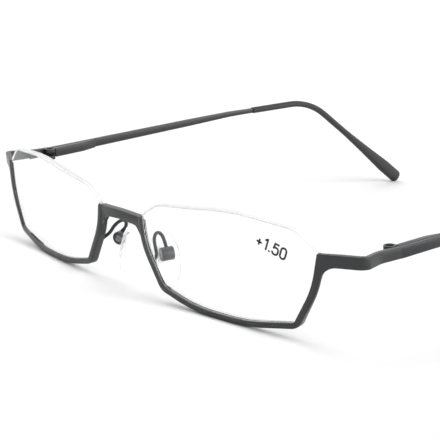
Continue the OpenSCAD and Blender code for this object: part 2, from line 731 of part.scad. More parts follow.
// The box is open towards the pad only, high enough for the boss's neck to rock in it
pad_swing = 10;
box_slot = boss_w + 2 * boss_gap;
box_mouth = 2 * (boss_r + box_d / 2 * sin(pad_swing)) + 4 * boss_gap;
pad_head_d = 1.5;
pad_head_h = 0.35;
module pad_box(side) {
    color(metal) on_side(side) in_pad() difference() {
        rotate([90, 0, 0]) cylinder(d = box_d, h = box_l, center = true);
        rotate([90, 0, 0]) cylinder(r = boss_r + 2 * boss_gap, h = box_slot, center = true);
        translate([-far, -box_slot / 2, -box_mouth / 2]) cube([far, box_slot, box_mouth]);
        rotate([90, 0, 0]) cylinder(d = pad_screw_d + 2 * screw_gap, h = 2 * box_l, center = true);
        translate([0, pad_head_h - box_l / 2, 0]) rotate([90, 0, 0])
            cylinder(d = pad_head_d + 2 * screw_gap, h = box_l);
    }
}
module pad_screw(side) {
    color(bright) on_side(side) in_pad() rotate([90, 0, 0])
        slotted_screw(pad_screw_d, -box_l / 2, box_l / 2 - pad_head_h, pad_head_d, pad_head_h);
}
// The pad core is a flat oval plate in the silicone with a boss round the screw
plate_x = -box_d / 2 - 0.75;
plate_h = 7;
plate_w = 3.4;
plate_t = 0.5;
pad_drop = 1.3;
module oval_plate(h, w, t) {
    rotate([0, 90, 0]) linear_extrude(t, center = true)
        polygon(rounded([[h / 2, -w / 2, w * 0.45], [h / 2, w / 2, w * 0.45], [-h / 2, w / 2, w * 0.49],
            [-h / 2, -w / 2, w * 0.49]]));
}
module core_shape(grow) {
    translate([plate_x, 0, -pad_drop])
        oval_plate(plate_h + 2 * grow, plate_w + 2 * grow, plate_t + 2 * grow);
    translate([plate_x, -boss_w / 2 - grow, -boss_r - grow])
        cube([-plate_x, boss_w + 2 * grow, 2 * boss_r + 2 * grow]);
}
module pad_core(side) {
    color(clear, 0.7) on_side(side) in_pad() difference() {
        union() {
            core_shape(0);
            rotate([90, 0, 0]) cylinder(r = boss_r, h = boss_w, center = true);
        }
        rotate([90, 0, 0]) cylinder(d = pad_screw_d + 2 * screw_gap, h = 2 * boss_w, center = true);
    }
}
module nose_pad(side) {
    dome = 14;
    back = plate_x + 0.6;
    color(clear, 0.4) on_side(side) in_pad() difference() {
        intersection() {
            translate([back - pad_t / 2, 0, -pad_drop]) oval_plate(pad_h, pad_w, pad_t);
            translate([back - pad_t + dome, 0, -pad_drop]) sphere(dome, $fn = 120);
        }
        core_shape(0.03);
    }
}

rim(left);  // left_rim
rim(right);  // right_rim
bridge();
endpiece(left);  // left_endpiece
endpiece(right);  // right_endpiece
lens(left);  // left_lens
lens(right);  // right_lens
lens_cord(left);  // left_lens_cord
lens_cord(right);  // right_lens_cord
pad_arm(left);  // left_pad_arm
pad_arm(right);  // right_pad_arm
pad_box(left);  // left_pad_box
pad_box(right);  // right_pad_box
pad_screw(left);  // left_pad_screw
pad_screw(right);  // right_pad_screw
pad_core(left);  // left_pad_core
pad_core(right);  // right_pad_core
nose_pad(left);  // left_nose_pad
nose_pad(right);  // right_nose_pad
hinge_base(left);  // left_hinge_base
hinge_base(right);  // right_hinge_base
hinge_screw(left);  // left_hinge_screw
hinge_screw(right);  // right_hinge_screw
hinge_slider(left);  // left_hinge_slider
hinge_slider(right);  // right_hinge_slider
spring_stop(left);  // left_spring_stop
spring_stop(right);  // right_spring_stop
hinge_spring(left);  // left_hinge_spring
hinge_spring(right);  // right_hinge_spring
spring_housing(left);  // left_spring_housing
spring_housing(right);  // right_spring_housing
temple(left);  // left_temple
temple(right);  // right_temple
temple_tip(left);  // left_temple_tip
temple_tip(right);  // right_temple_tip
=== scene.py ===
"""Half-frame reading glasses: the shape and finish of every piece that shows, and the stage."""

import json
import math

import bmesh
import bpy
from bpy.props import FloatProperty, FloatVectorProperty, PointerProperty, StringProperty
from bpy.types import Operator, Panel, PropertyGroup
from mathutils import Matrix, Vector


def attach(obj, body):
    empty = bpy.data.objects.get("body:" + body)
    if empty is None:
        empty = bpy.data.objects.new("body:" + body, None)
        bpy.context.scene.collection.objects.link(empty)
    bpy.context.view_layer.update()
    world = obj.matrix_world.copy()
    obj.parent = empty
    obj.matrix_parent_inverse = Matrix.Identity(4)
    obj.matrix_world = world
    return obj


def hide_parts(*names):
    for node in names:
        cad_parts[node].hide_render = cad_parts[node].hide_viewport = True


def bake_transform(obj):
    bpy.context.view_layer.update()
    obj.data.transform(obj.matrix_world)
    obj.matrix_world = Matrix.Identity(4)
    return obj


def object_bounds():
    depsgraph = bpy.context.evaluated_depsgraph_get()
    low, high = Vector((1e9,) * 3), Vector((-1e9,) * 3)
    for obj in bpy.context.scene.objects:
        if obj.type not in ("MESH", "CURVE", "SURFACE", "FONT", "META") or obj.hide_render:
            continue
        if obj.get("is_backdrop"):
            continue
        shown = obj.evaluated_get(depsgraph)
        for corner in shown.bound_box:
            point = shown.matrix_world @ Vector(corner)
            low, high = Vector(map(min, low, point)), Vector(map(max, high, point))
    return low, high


bl_info = {
    "name": "Half-frame reading glasses",
    "version": (1, 0, 0),
    "blender": (4, 5, 0),
    "location": "3D View > Sidebar > Glasses",
    "description": "Models, finishes and lights a pair of half-frame reading glasses",
    "category": "Object",
}

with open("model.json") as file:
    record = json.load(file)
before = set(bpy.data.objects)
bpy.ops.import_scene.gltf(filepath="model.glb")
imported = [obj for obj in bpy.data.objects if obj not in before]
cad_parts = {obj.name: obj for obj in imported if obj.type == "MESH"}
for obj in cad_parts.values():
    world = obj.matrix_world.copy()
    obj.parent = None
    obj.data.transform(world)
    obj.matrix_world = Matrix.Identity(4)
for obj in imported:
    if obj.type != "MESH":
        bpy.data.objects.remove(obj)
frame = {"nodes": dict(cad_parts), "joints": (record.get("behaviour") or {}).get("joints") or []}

MM = 0.001
LEFT = 1
RIGHT = -1
SIDES = {"left": LEFT, "right": RIGHT}
# Places closer than this are the same
SAME = 0.001 * MM


# Properties

def length(name, description, mm):
    return FloatProperty(
        name=name, description=description, default=mm * MM, unit="LENGTH", precision=5)


def angle(name, description, degrees):
    return FloatProperty(
        name=name, description=description, default=math.radians(degrees), subtype="ANGLE")


def linear(hex_colour):
    """Linear colour of an sRGB hex value, with full alpha."""
    shares = [int(hex_colour[i:i + 2], 16) / 255 for i in (1, 3, 5)]
    return tuple(s / 12.92 if s <= 0.04045 else ((s + 0.055) / 1.055) ** 2.4 for s in shares) + (1.0,)


def colour(name, description, hex_colour):
    return FloatVectorProperty(
        name=name, description=description, default=linear(hex_colour), subtype="COLOR", size=4,
        min=0, max=1)


class LensSizes(PropertyGroup):
    """Outline and curves of one lens, in the lens's own plane."""
    width: length("Width", "Width between the two top corners", 50.4)
    low_width: length("Lower width", "Width between the two lower corners", 37.8)
    shoulder_width: length("Shoulder width", "Width between the shoulders of the bare top edge", 39.8)
    corner_up: length("Corner height", "Height of the top corners above the centre", 7.3)
    nose_drop: length("Nasal drop", "How far the rim's nasal end lies below its temple end", 0.5)
    nose_corner_down: length("Nasal corner", "Depth of the lower nasal corner", 7.7)
    temple_corner_down: length("Temple corner", "Depth of the lower temple corner", 8.5)
    nose_belly_down: length("Nasal belly", "Depth of the nasal half of the lower edge", 10.1)
    nose_belly_in: length("Nasal belly offset", "How far that point lies towards the nose", 8.4)
    belly_down: length("Belly", "Depth of the lowest point of the outline", 10.4)
    belly_out: length("Belly offset", "How far the lowest point lies towards the temple", 6.2)
    nose_shoulder_up: length("Nasal shoulder", "Height of the nasal shoulder", 10.7)
    temple_shoulder_up: length("Temple shoulder", "Height of the temple shoulder", 11.6)
    crown_up: length("Crown", "Height of the crown of the top edge", 13.3)
    crown_out: length("Crown offset", "How far the crown lies towards the temple", 3.3)
    nose_bow: length("Nasal bow", "Outward bow of the nasal edge", 1.75)
    temple_bow: length("Temple bow", "Outward bow of the temple edge", 1.6)
    front_radius: length("Front radius", "Radius of the front curve of lens and rim", 142)
    back_radius: length("Back radius", "Radius of the back curve", 247)
    thickness: length("Thickness", "Thickness of the lens at its centre", 2.1)
    inset: length("Inset", "How far the lens lies behind the rim's front face", 0.45)
    clearance: length("Clearance", "Gap between lens and rim", 0.03)
    chamfer: length("Chamfer", "Polished chamfer along both edges of the lens", 0.07)
    bevel_height: length("Ridge height", "Height of the ridge that sits in the rim's groove", 0.42)
    bevel_front: length("Ridge start", "Distance from the front curve to the ridge's foot", 0.3)
    bevel_width: length("Ridge width", "Width of the ridge at its foot", 0.6)
    groove_depth: length("Groove depth", "Depth of the groove that holds the nylon", 0.44)
    groove_front: length("Groove start", "Distance from the front curve to the groove", 0.34)
    groove_width: length("Groove width", "Width of the groove at its mouth", 0.52)


class FrontSizes(PropertyGroup):
    """Rims, bridge and endpieces."""
    lens_gap: length("Gap between lenses", "Gap between the lenses at their top corners", 16.6)
    wrap: angle("Wrap", "Angle that each lens turns back towards its temple", 8.1)
    lean: angle("Lean", "Angle that the standing front leans forward at its top", 7.5)
    rim_width: length("Rim width", "Width of the rim strip seen from the front", 1.3)
    rim_depth: length("Rim depth", "Depth of the rim strip", 1.9)
    rim_spread: length("Rim spread", "How far the strip's front face spreads towards the endpiece", 0.4)
    rim_draw: length("Rim draw", "How far the strip's rear edge draws in below that spread", 0.6)
    rim_groove: length("Rim groove", "Depth of the groove for the lens", 0.45)
    edge_radius: length("Edge radius", "Rounding of the strip's edges under the lacquer", 0.16)
    bridge_height: length("Bridge height", "Height of the bridge band", 2.15)
    bridge_thickness: length("Bridge thickness", "Thickness of the bridge band", 1.6)
    bridge_arch: length("Bridge arch", "Rise of the bridge band at its middle", 0.15)
    flare_height: length("Flare height", "Height of the flare under each end of the bridge", 3.2)
    flare_width: length("Flare width", "Width of that flare", 2.75)
    front_width: length("Front width", "Width between the outer faces of the two bends", 136)
    temple_span: length("Temple span", "Width between the outer faces of the temples", 131.8)
    strip_height: length("Endpiece height", "Height of the endpiece strip at the front", 2.7)
    strip_thickness: length("Endpiece thickness", "Thickness of the endpiece strip", 1.3)
    fillet: length("Endpiece fillet", "Radius of the fillet between the endpiece and the rim", 3.4)
    bend_radius: length("Bend radius", "Outer radius of the endpiece's bend", 2.1)
    bend_back: length("Bend depth", "How far the bend's corner lies behind the lens centre", 10.5)
    hinge_back: length("Hinge depth", "Distance from the lens centre back to the hinge screw", 21.2)
    hinge_up: length("Hinge height", "Height of the hinge centre above the lens centre", 5.0)


class TempleSizes(PropertyGroup):
    """Spring housings, temples and their sleeves, in the frame of the hinge."""
    rise: angle("Rise", "Angle that the standing temple rises towards the ear", 5.9)
    drop: angle("Drop", "Angle between the temple and the drop behind the ear", 40.182)
    knuckle: length("Knuckle", "Diameter of the hinge knuckles", 2.6)
    seam_back: length("Seam", "Distance from the screw to the seam of endpiece and temple", 1.0)
    seam_gap: length("Seam gap", "Gap in that seam", 0.03)
    housing_length: length("Housing length", "Length of the spring housing", 13.4)
    housing_height: length("Housing height", "Height of the spring housing", 2.3)
    housing_thickness: length("Housing thickness", "Thickness of the spring housing", 1.7)
    bend_at: length("Bend", "Length from the screw to the middle of the bend", 92.5)
    dip: length("Dip", "How far the bend lies below the straight temple's line", 1.2)
    dip_at: length("Dip start", "Distance from the screw to where that dip starts", 62)
    drop_length: length("Drop length", "Length of the drop behind the bend", 47.2)
    thickness: length("Thickness", "Thickness of the flat temple", 1.1)
    height: length("Height", "Height of the temple at the hinge", 2.4)
    middle_height: length("Middle height", "Height of the temple where it starts to thin", 1.85)
    thin_at: length("Thinning", "Distance from the screw to that place", 47)
    low_height: length("Low height", "Height of the temple where the sleeve starts", 1.2)
    ear_radius: length("Ear radius", "Radius of the bend over the ear", 22)
    tip_at: length("Sleeve start", "Distance from the screw to the sleeve", 70.5)
    tip_height: length("Sleeve height", "Height of the sleeve at its start", 1.69)
    tip_end_height: length("Sleeve end height", "Width of the sleeve at its widest", 3.68)
    tip_thickness: length("Sleeve thickness", "Thickness of the sleeve at its start", 1.9)
    tip_end_thickness: length("Sleeve end thickness", "Thickness of the sleeve at its end", 2.8)
    tip_wide: length("Wide length", "Length of the widest stretch with its rounded end", 8)
    tip_flare: length("Flare length", "Length over which the sleeve widens", 22)
    tip_round: length("End rounding", "Length of the rounding of the sleeve's end", 1.5)


class PadSizes(PropertyGroup):
    """Pad arms and nose pads."""
    arm: length("Arm wire", "Diameter of the lacquered pad arm wire", 0.82)
    yaw: angle("Pad yaw", "Angle that the pad opens towards the ear", 20)
    tilt: angle("Pad tilt", "Angle that the pad opens downwards", 17)
    height: length("Pad height", "Height of the nose pad", 13)
    width: length("Pad width", "Width of the nose pad", 7.2)
    thickness: length("Pad thickness", "Thickness of the nose pad at its middle", 2.0)
    plate_out: length("Plate distance", "Distance of the pad's plate from the screw", 2.3)
    low: length("Pad offset", "How far the pad hangs below its screw", 1.3)


class LabelSizes(PropertyGroup):
    """The lens power printed on a clear film on the near lens."""
    text: StringProperty(name="Power", description="Lens power in dioptres", default="+1.50")
    height: length("Numeral height", "Height of the numerals", 2.6)
    weight: length("Weight", "Width of each stroke", 0.46)
    spacing: length("Spacing", "Gap between two numerals", 0.46)
    across: length("Across", "Place of the print across the lens", 14.4)
    up: length("Up", "Place of the print above the lens centre", 7.1)
    turn: angle("Turn", "Angle that the print runs downhill", 19)


class FinishColours(PropertyGroup):
    """Colours of the finishes."""
    lacquer: colour("Lacquer", "Satin charcoal lacquer of the frame", "#1f2022")
    steel: colour("Steel", "Bare machined steel", "#8f9194")
    black_steel: colour("Blackened steel", "Black oxide on the steel of the hinges", "#121213")
    # The pad boxes have the frame's own coat; this paler grey is painted sheen for the bright light that
    # their faces reflect
    box: colour("Pad boxes", "Paler lacquer of the pad boxes", "#434446")
    tip: colour("Tips", "Matte charcoal of the moulded tips", "#262726")
    print_ink: colour("Ink", "Ink of the lens power", "#1e1e20")
    floor: colour("Floor", "Pale floor", "#fdfdfd")


class StageSettings(PropertyGroup):
    """Camera and lights."""
    azimuth: angle("Azimuth", "Direction of the camera round the glasses", 50.985)
    elevation: angle("Elevation", "Height of the camera above the horizon", 12.222)
    roll: angle("Roll", "Roll of the camera", 2.223)
    distance: length("Distance", "Distance from the camera to its target", 333.979)
    focal: FloatProperty(name="Focal length", description="Focal length on a 36 mm sensor", default=131.19)
    target: FloatVectorProperty(
        name="Target", description="Point that the camera looks at", subtype="XYZ", unit="LENGTH",
        default=(33.465 * MM, -74.941 * MM, 21.766 * MM))
    shift: FloatVectorProperty(
        name="Shift", description="Shift of the picture as a share of its width", size=2,
        default=(0.0008, 0.0036))
    key: FloatProperty(name="Key light", description="Strength of the soft key light", default=0.72)
    fill: FloatProperty(name="Fill light", description="Strength of the low light from behind", default=2.8)
    ambient: FloatProperty(name="Ambient", description="Strength of the light from all round", default=0.66)


# Paths and frames

def joint_place(name):
    """Where a joint of the packed record stands."""
    return Vector(next(j for j in frame["joints"] if j["name"] == name)["pos_m"])


def front_frame(front):
    """Frame of the leaning front, with its origin between the lens centres."""
    hinge = joint_place("left_fold")
    lean = Matrix.Rotation(front.lean, 4, "X")
    origin = hinge - lean.to_3x3() @ Vector((hinge.x, front.hinge_back, front.hinge_up))
    return Matrix.Translation(origin) @ lean


def lens_middle(lens, front):
    """Distance of a lens centre from the middle of the glasses."""
    half = lens.width / 2
    return (front.lens_gap / 2 + half * math.cos(front.wrap)
            + front_sag(lens, half, lens.corner_up) * math.sin(front.wrap))


def lens_frame(lens, front):
    """Frame of the left lens: X across, Z up, Y back from the rim's front face."""
    place = Matrix.Translation((lens_middle(lens, front), 0, 0))
    return front_frame(front) @ place @ Matrix.Rotation(front.wrap, 4, "Z")


def hinge_frame(temple):
    """Frame of the left hinge: X outwards, Y along the temple, Z along the screw."""
    return Matrix.Translation(joint_place("left_fold")) @ Matrix.Rotation(temple.rise, 4, "X")


def pad_frame(pad, front):
    """Frame of the left pad: X away from the nose, Y along the screw, Z up the pad."""
    turn = (Matrix.Rotation(front.lean, 4, "X") @ Matrix.Rotation(-pad.yaw, 4, "Z")
            @ Matrix.Rotation(-pad.tilt, 4, "Y"))
    return Matrix.Translation(joint_place("left_pad_rock")) @ turn


def sphere_sag(radius, u, w):
    return radius - math.sqrt(radius * radius - u * u - w * w)


def front_sag(lens, u, w):
    return sphere_sag(lens.front_radius, u, w)


# Radii of the corners of the lens outline in millimetres, from the nasal top corner down and round
OUTLINE_RADII = (0.8, 15, 2.2, 45, 45, 1.9, 20, 0.5, 7, 60, 8)
# How far the nasal top corner lies above the temple one, before it is rounded
NOSE_PEAK = 0.3 * MM
# Share of its height at which each side edge bows most
NOSE_KNEE = 0.4
TEMPLE_KNEE = 0.48


def lens_outline(lens):
    """Corners of the lens outline, from the nasal top corner down and round, as (across, up, radius)."""
    half, low, shoulder = lens.width / 2, lens.low_width / 2, lens.shoulder_width / 2

    def knee(share, down, bow):
        return half + (low - half) * share + bow, lens.corner_up - (lens.corner_up + down) * share

    nose = knee(NOSE_KNEE, lens.nose_corner_down, lens.nose_bow)
    corners = [
        (-half, lens.corner_up + NOSE_PEAK),
        (-nose[0], nose[1]),
        (-low, -lens.nose_corner_down),
        (-lens.nose_belly_in, -lens.nose_belly_down),
        (lens.belly_out, -lens.belly_down),
        (low, -lens.temple_corner_down),
        knee(TEMPLE_KNEE, lens.temple_corner_down, lens.temple_bow),
        (half, lens.corner_up),
        (shoulder, lens.temple_shoulder_up),
        (lens.crown_out, lens.crown_up),
        (-shoulder, lens.nose_shoulder_up)]
    return [(x, y, radius * MM) for (x, y), radius in zip(corners, OUTLINE_RADII)]


def flat_vector(p):
    return Vector((p[0], p[1]))


def left_normal(a, b):
    d = (flat_vector(b) - flat_vector(a)).normalized()
    return Vector((-d.y, d.x))


def moved_path(path, d, smallest=0.02 * MM):
    """A closed path moved to its left by d, with its corner radii following down to the smallest."""
    moved = []
    for i, p in enumerate(path):
        n1 = left_normal(path[i - 1], p)
        n2 = left_normal(p, path[(i + 1) % len(path)])
        turn = n1.x * n2.y - n1.y * n2.x
        place = flat_vector(p) + d * (n1 + n2) / (1 + n1.dot(n2))
        moved.append((place.x, place.y, max(smallest, p[2] - math.copysign(d, turn))))
    return moved


def corner_arc(p, before, after, step):
    """Points of the round corner at p, a step of the turn apart."""
    corner, radius = flat_vector(p), p[2]
    to_before = (flat_vector(before) - corner).normalized()
    to_after = (flat_vector(after) - corner).normalized()
    half = to_before.angle(to_after) / 2
    centre = corner + (to_before + to_after).normalized() * radius / math.sin(half)
    first = corner + to_before * radius / math.tan(half) - centre
    last = corner + to_after * radius / math.tan(half) - centre
    start = math.atan2(first.y, first.x)
    turn = (math.atan2(last.y, last.x) - start + 3 * math.pi) % (2 * math.pi) - math.pi
    count = max(2, math.ceil(abs(turn) / step))
    angles = [start + turn * k / count for k in range(count + 1)]
    return [centre + radius * Vector((math.cos(a), math.sin(a))) for a in angles]


def rounded(path, closed=True, step=math.radians(5)):
    """Points of a path of (x, y, radius) corners, with the corners rounded."""
    points = []
    for i, p in enumerate(path):
        end = not closed and i in (0, len(path) - 1)
        if end or p[2] <= 0:
            points.append(flat_vector(p))
        else:
            points += corner_arc(p, path[i - 1], path[(i + 1) % len(path)], step)
    return points


def tangents(points):
    """Direction of an open line at each of its points, and how much a mitre there widens it."""
    lasts = len(points) - 1
    found = []
    for i in range(len(points)):
        before = (points[i] - points[i - 1]).normalized() if i > 0 else None
        after = (points[i + 1] - points[i]).normalized() if i < lasts else None
        along = (before or after) + (after or before)
        along.normalize()
        found.append((along, 1 / along.dot(after or before)))
    return found


# Mesh helpers

# Distance under which the loose corners of a packed node's triangles are one
NODE_WELD = 0.002 * MM
# Angle from which an edge shows as sharp, in degrees
SHARP = 38


def new_face(bm, points):
    return bm.faces.new([bm.verts.new(Vector(p).to_3d()) for p in points])


def only(kind, geometry):
    return [g for g in geometry if isinstance(g, kind)]


def next_ring(bm, edges):
    """Draws a line of edges out and returns the new edges, vertices and faces, not moved yet."""
    made = bmesh.ops.extrude_edge_only(bm, edges=edges)["geom"]
    verts = set(only(bmesh.types.BMVert, made))
    edges = [e for e in only(bmesh.types.BMEdge, made) if set(e.verts) <= verts]
    return edges, verts, only(bmesh.types.BMFace, made)


def sweep(bm, edges, frames):
    """Carries a line of edges, drawn in frames[0] already, through the other frames and returns its end."""
    for before, after in zip(frames, frames[1:]):
        edges, verts, _ = next_ring(bm, edges)
        bmesh.ops.transform(bm, matrix=after @ before.inverted(), verts=list(verts))
    return edges


def sweep_closed(bm, face, frames):
    """A closed bar: the face is drawn in plain X and Y, and each frame places it once."""
    bmesh.ops.transform(bm, matrix=frames[0], verts=list(face.verts))
    end = sweep(bm, list(face.edges), frames)
    bmesh.ops.edgeloop_fill(bm, edges=end)


def axes_frame(x_axis, y_axis, z_axis, origin):
    """Matrix whose columns are the three axes and the origin."""
    matrix = Matrix.Identity(4)
    for i, v in enumerate((x_axis, y_axis, z_axis, origin)):
        matrix.col[i][:3] = v.to_3d()
    return matrix


def bevel_edges(bm, edges, radius):
    bmesh.ops.bevel(
        bm, geom=list(edges), offset=radius, segments=3, profile=0.5, affect="EDGES", material=-1,
        clamp_overlap=True)


def round_section(bm, verts, radius):
    """Rounds the corners of a flat section and returns its face."""
    bmesh.ops.bevel(
        bm, geom=verts, offset=radius, segments=3, profile=0.5, affect="VERTICES", material=-1)
    bm.faces.ensure_lookup_table()
    return bm.faces[0]


def bar_section(bm, corners, size, radius, back):
    """A rectangle whose corners are rounded at the bar's size, then scaled back for the sweep's frames."""
    face = new_face(bm, corners)
    bmesh.ops.scale(bm, vec=size, verts=bm.verts)
    face = round_section(bm, list(face.verts), radius)
    bmesh.ops.scale(bm, vec=back, verts=bm.verts)
    return face


def superellipse(value, half, full):
    """A coordinate of a circle of radius half, moved out towards the square: full 1 keeps the circle."""
    return math.copysign(abs(value / half) ** full * half, value)


def extruded(bm, face, move):
    """The face drawn out by a vector into a solid."""
    made = bmesh.ops.extrude_face_region(bm, geom=[face])["geom"]
    bmesh.ops.translate(bm, vec=move, verts=only(bmesh.types.BMVert, made))


def add_piece(name, bm, side, material, body, stands_for=(), sharp=SHARP):
    """Turns a mesh drawn for the left side into a finished piece of its side."""
    if side == RIGHT:
        bmesh.ops.scale(bm, vec=(-1, 1, 1), verts=bm.verts)
    bmesh.ops.recalc_face_normals(bm, faces=bm.faces)
    mesh = bpy.data.meshes.new(name)
    bm.to_mesh(mesh)
    bm.free()
    for finish_used in material if isinstance(material, tuple) else (material,):
        mesh.materials.append(finish_used)
    mesh.shade_smooth()
    mesh.set_sharp_from_angle(angle=math.radians(sharp))
    piece = bpy.data.objects.new(name, mesh)
    bpy.context.scene.collection.objects.link(piece)
    if body:
        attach(piece, body)
    if stands_for:
        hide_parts(*stands_for)
    return piece


def dress_node(name, material, soften=0.0, rounds=0):
    """Gives a packed node its finish, with its edges softened or its facets rounded, and returns it."""
    node = frame["nodes"][name]
    node.data.materials.clear()
    node.data.materials.append(material)
    weld = node.modifiers.new("Weld", "WELD")
    weld.merge_threshold = NODE_WELD
    if soften:
        bevel = node.modifiers.new("Soft edges", "BEVEL")
        bevel.width = soften
        bevel.segments = 2
        bevel.limit_method = "ANGLE"
        bevel.angle_limit = math.radians(40)
    if rounds:
        smooth = node.modifiers.new("Round", "SUBSURF")
        smooth.levels = rounds
        smooth.render_levels = rounds
    return node


# Materials

def add_node(tree, kind, inputs=None, **settings):
    """Adds a node with its settings, its values and the links into it."""
    node = tree.nodes.new(kind)
    for name, value in settings.items():
        setattr(node, name, value)
    for name, value in (inputs or {}).items():
        if isinstance(value, bpy.types.NodeSocket):
            tree.links.new(value, node.inputs[name])
        else:
            node.inputs[name].default_value = value
    return node


def shaded(value, share):
    """A colour made darker, or lighter by a share above 1."""
    return tuple(v * share for v in value[:3]) + (1.0,)


# Height of the relief that the sprayed and moulded surfaces have
RELIEF = 0.02 * MM


def patterned(name, surface, tone=None, gloss=None, relief=None):
    """A material whose tone, gloss and relief follow the real surface's grain.

    Each of the three starts with its noise, as (width of a feature in millimetres, detail). Then come the
    two colours, the two values of roughness, or the strength. The surface holds what is even all over.
    """
    material = bpy.data.materials.new(name)
    material.use_nodes = True
    tree = material.node_tree
    tree.nodes.clear()
    place = add_node(tree, "ShaderNodeTexCoord").outputs["Object"]
    grains = {}
    for grain, *_ in filter(None, (tone, gloss, relief)):
        if grain not in grains:
            width_mm, detail = grain
            grains[grain] = add_node(tree, "ShaderNodeTexNoise", {
                "Vector": place, "Scale": 1 / (width_mm * MM), "Detail": detail}).outputs["Fac"]
    inputs = dict(surface)
    if tone:
        grain, low, high = tone
        inputs["Base Color"] = add_node(
            tree, "ShaderNodeMix", {0: grains[grain], 6: low, 7: high}, data_type="RGBA").outputs[2]
    if gloss:
        grain, low, high = gloss
        inputs["Roughness"] = add_node(tree, "ShaderNodeMapRange", {
            "Value": grains[grain], "To Min": low, "To Max": high}).outputs[0]
    if relief:
        grain, strength = relief
        inputs["Normal"] = add_node(tree, "ShaderNodeBump", {
            "Height": grains[grain], "Strength": strength, "Distance": RELIEF}).outputs[0]
    shader = add_node(tree, "ShaderNodeBsdfPrincipled", inputs)
    add_node(tree, "ShaderNodeOutputMaterial", {"Surface": shader.outputs[0]})
    return material


def satin_lacquer(name, grey):
    """Satin lacquer baked on nickel-copper strip: a soft broad sheen over an even grey.

    Its relief is the orange peel of the sprayed coat, about a third of a millimetre across.
    """
    mottle, peel = (2.2, 3.0), (0.35, 2.0)
    return patterned(
        name, {"Specular IOR Level": 0.5}, tone=(mottle, shaded(grey, 0.86), shaded(grey, 1.14)),
        gloss=(mottle, 0.26, 0.34), relief=(peel, 0.12))


# Tool marks of turned steel, drawn coarser than the real ones so that they show
TOOL_MARKS = (0.25, 5.0)


def turned_steel(name, grey):
    """Turned stainless steel of the pad screws, with fine tool marks that spread its glints."""
    return patterned(
        name, {"Metallic": 1.0}, tone=(TOOL_MARKS, shaded(grey, 0.8), shaded(grey, 1.15)),
        gloss=(TOOL_MARKS, 0.24, 0.4))


def black_oxide(name, black):
    """Black oxide on the hinges' steel: an oily matte black that reads as a hole beside the lacquer."""
    return patterned(
        name, {"Specular IOR Level": 0.1}, tone=(TOOL_MARKS, shaded(black, 0.7), shaded(black, 1.3)),
        gloss=(TOOL_MARKS, 0.5, 0.7))


def moulded_tip(name, charcoal):
    """Injection-moulded cellulose of the temple tips: matte charcoal with a fine spark-eroded grain."""
    cloud, grain = (5.0, 2.0), (0.3, 4.0)
    return patterned(
        name, {"Specular IOR Level": 0.4}, tone=(cloud, shaded(charcoal, 0.92), shaded(charcoal, 1.08)),
        gloss=(grain, 0.5, 0.64), relief=(grain, 0.2))


def clear_resin(name):
    """Cast and polished lens resin: thin enough to be all but unseen, with a breath of haze."""
    haze = (9.0, 3.0)
    return patterned(
        name, {"Base Color": (1.0, 1.0, 1.0, 1.0), "IOR": 1.2, "Transmission Weight": 1.0},
        gloss=(haze, 0.0, 0.02))


def ground_edge(name):
    """The lens's bare edge as the grinding wheel leaves it: an even white frost, as bright as the paper."""
    grit = (0.3, 3.0)
    return patterned(
        name, {"Roughness": 0.8, "IOR": 1.2, "Transmission Weight": 0.2},
        tone=(grit, linear("#f6f7f8"), linear("#fefefe")))


def clear_soft(name, tint, roughness, grain_mm, ior, clear):
    """A clear soft or drawn plastic: light passes with a faint milkiness, more where it is less clear."""
    cloud = (grain_mm, 2.0)
    return patterned(
        name, {"Base Color": linear(tint), "IOR": ior, "Transmission Weight": clear},
        gloss=(cloud, roughness * 0.6, roughness * 1.4))


def printed_ink(name, ink):
    """Pad-printed ink of the lens power: flat dark grey, a little uneven where it is thin."""
    thin = (0.4, 3.0)
    return patterned(name, {"Roughness": 0.6}, tone=(thin, shaded(ink, 0.8), shaded(ink, 1.3)))


def pale_floor(name, white):
    """Matte white paper of the floor, with a trace of its fibres."""
    fibre = (3.0, 4.0)
    return patterned(
        name, {"Roughness": 0.9, "Specular IOR Level": 0.1}, tone=(fibre, shaded(white, 0.995), white))


def finish(name, make, *values, **settings):
    """The named finish, made once."""
    return bpy.data.materials.get(name) or make(name, *values, **settings)


def lacquer(scene):
    return finish("charcoal_satin_lacquer", satin_lacquer, scene.glasses_colours.lacquer)


def black_steel(scene):
    return finish("black_oxide_steel", black_oxide, scene.glasses_colours.black_steel)


# Pieces

class SidedPiece:
    """What the operators share that model a piece for the left side and mirror it for the right.

    Each names its piece and the packed node that it replaces, with the body, the slot and the sharpness
    where they differ from these. In the name of a body, {} stands for the side.
    """
    body = "front"
    slot = "frame_metal"
    sharp = SHARP

    def execute(self, context):
        scene = context.scene
        for name, side in SIDES.items():
            bm = bmesh.new()
            self.model(bm, scene)
            piece = add_piece(
                f"{name}_{self.piece}", bm, side, self.material(scene), self.body.format(name),
                [f"{name}_{self.node}"], self.sharp)
            self.complete(scene, name, piece)
        return {"FINISHED"}

    def material(self, scene):
        return lacquer(scene)

    def complete(self, scene, name, piece):
        """Does the rest of one side. Most pieces need nothing more."""


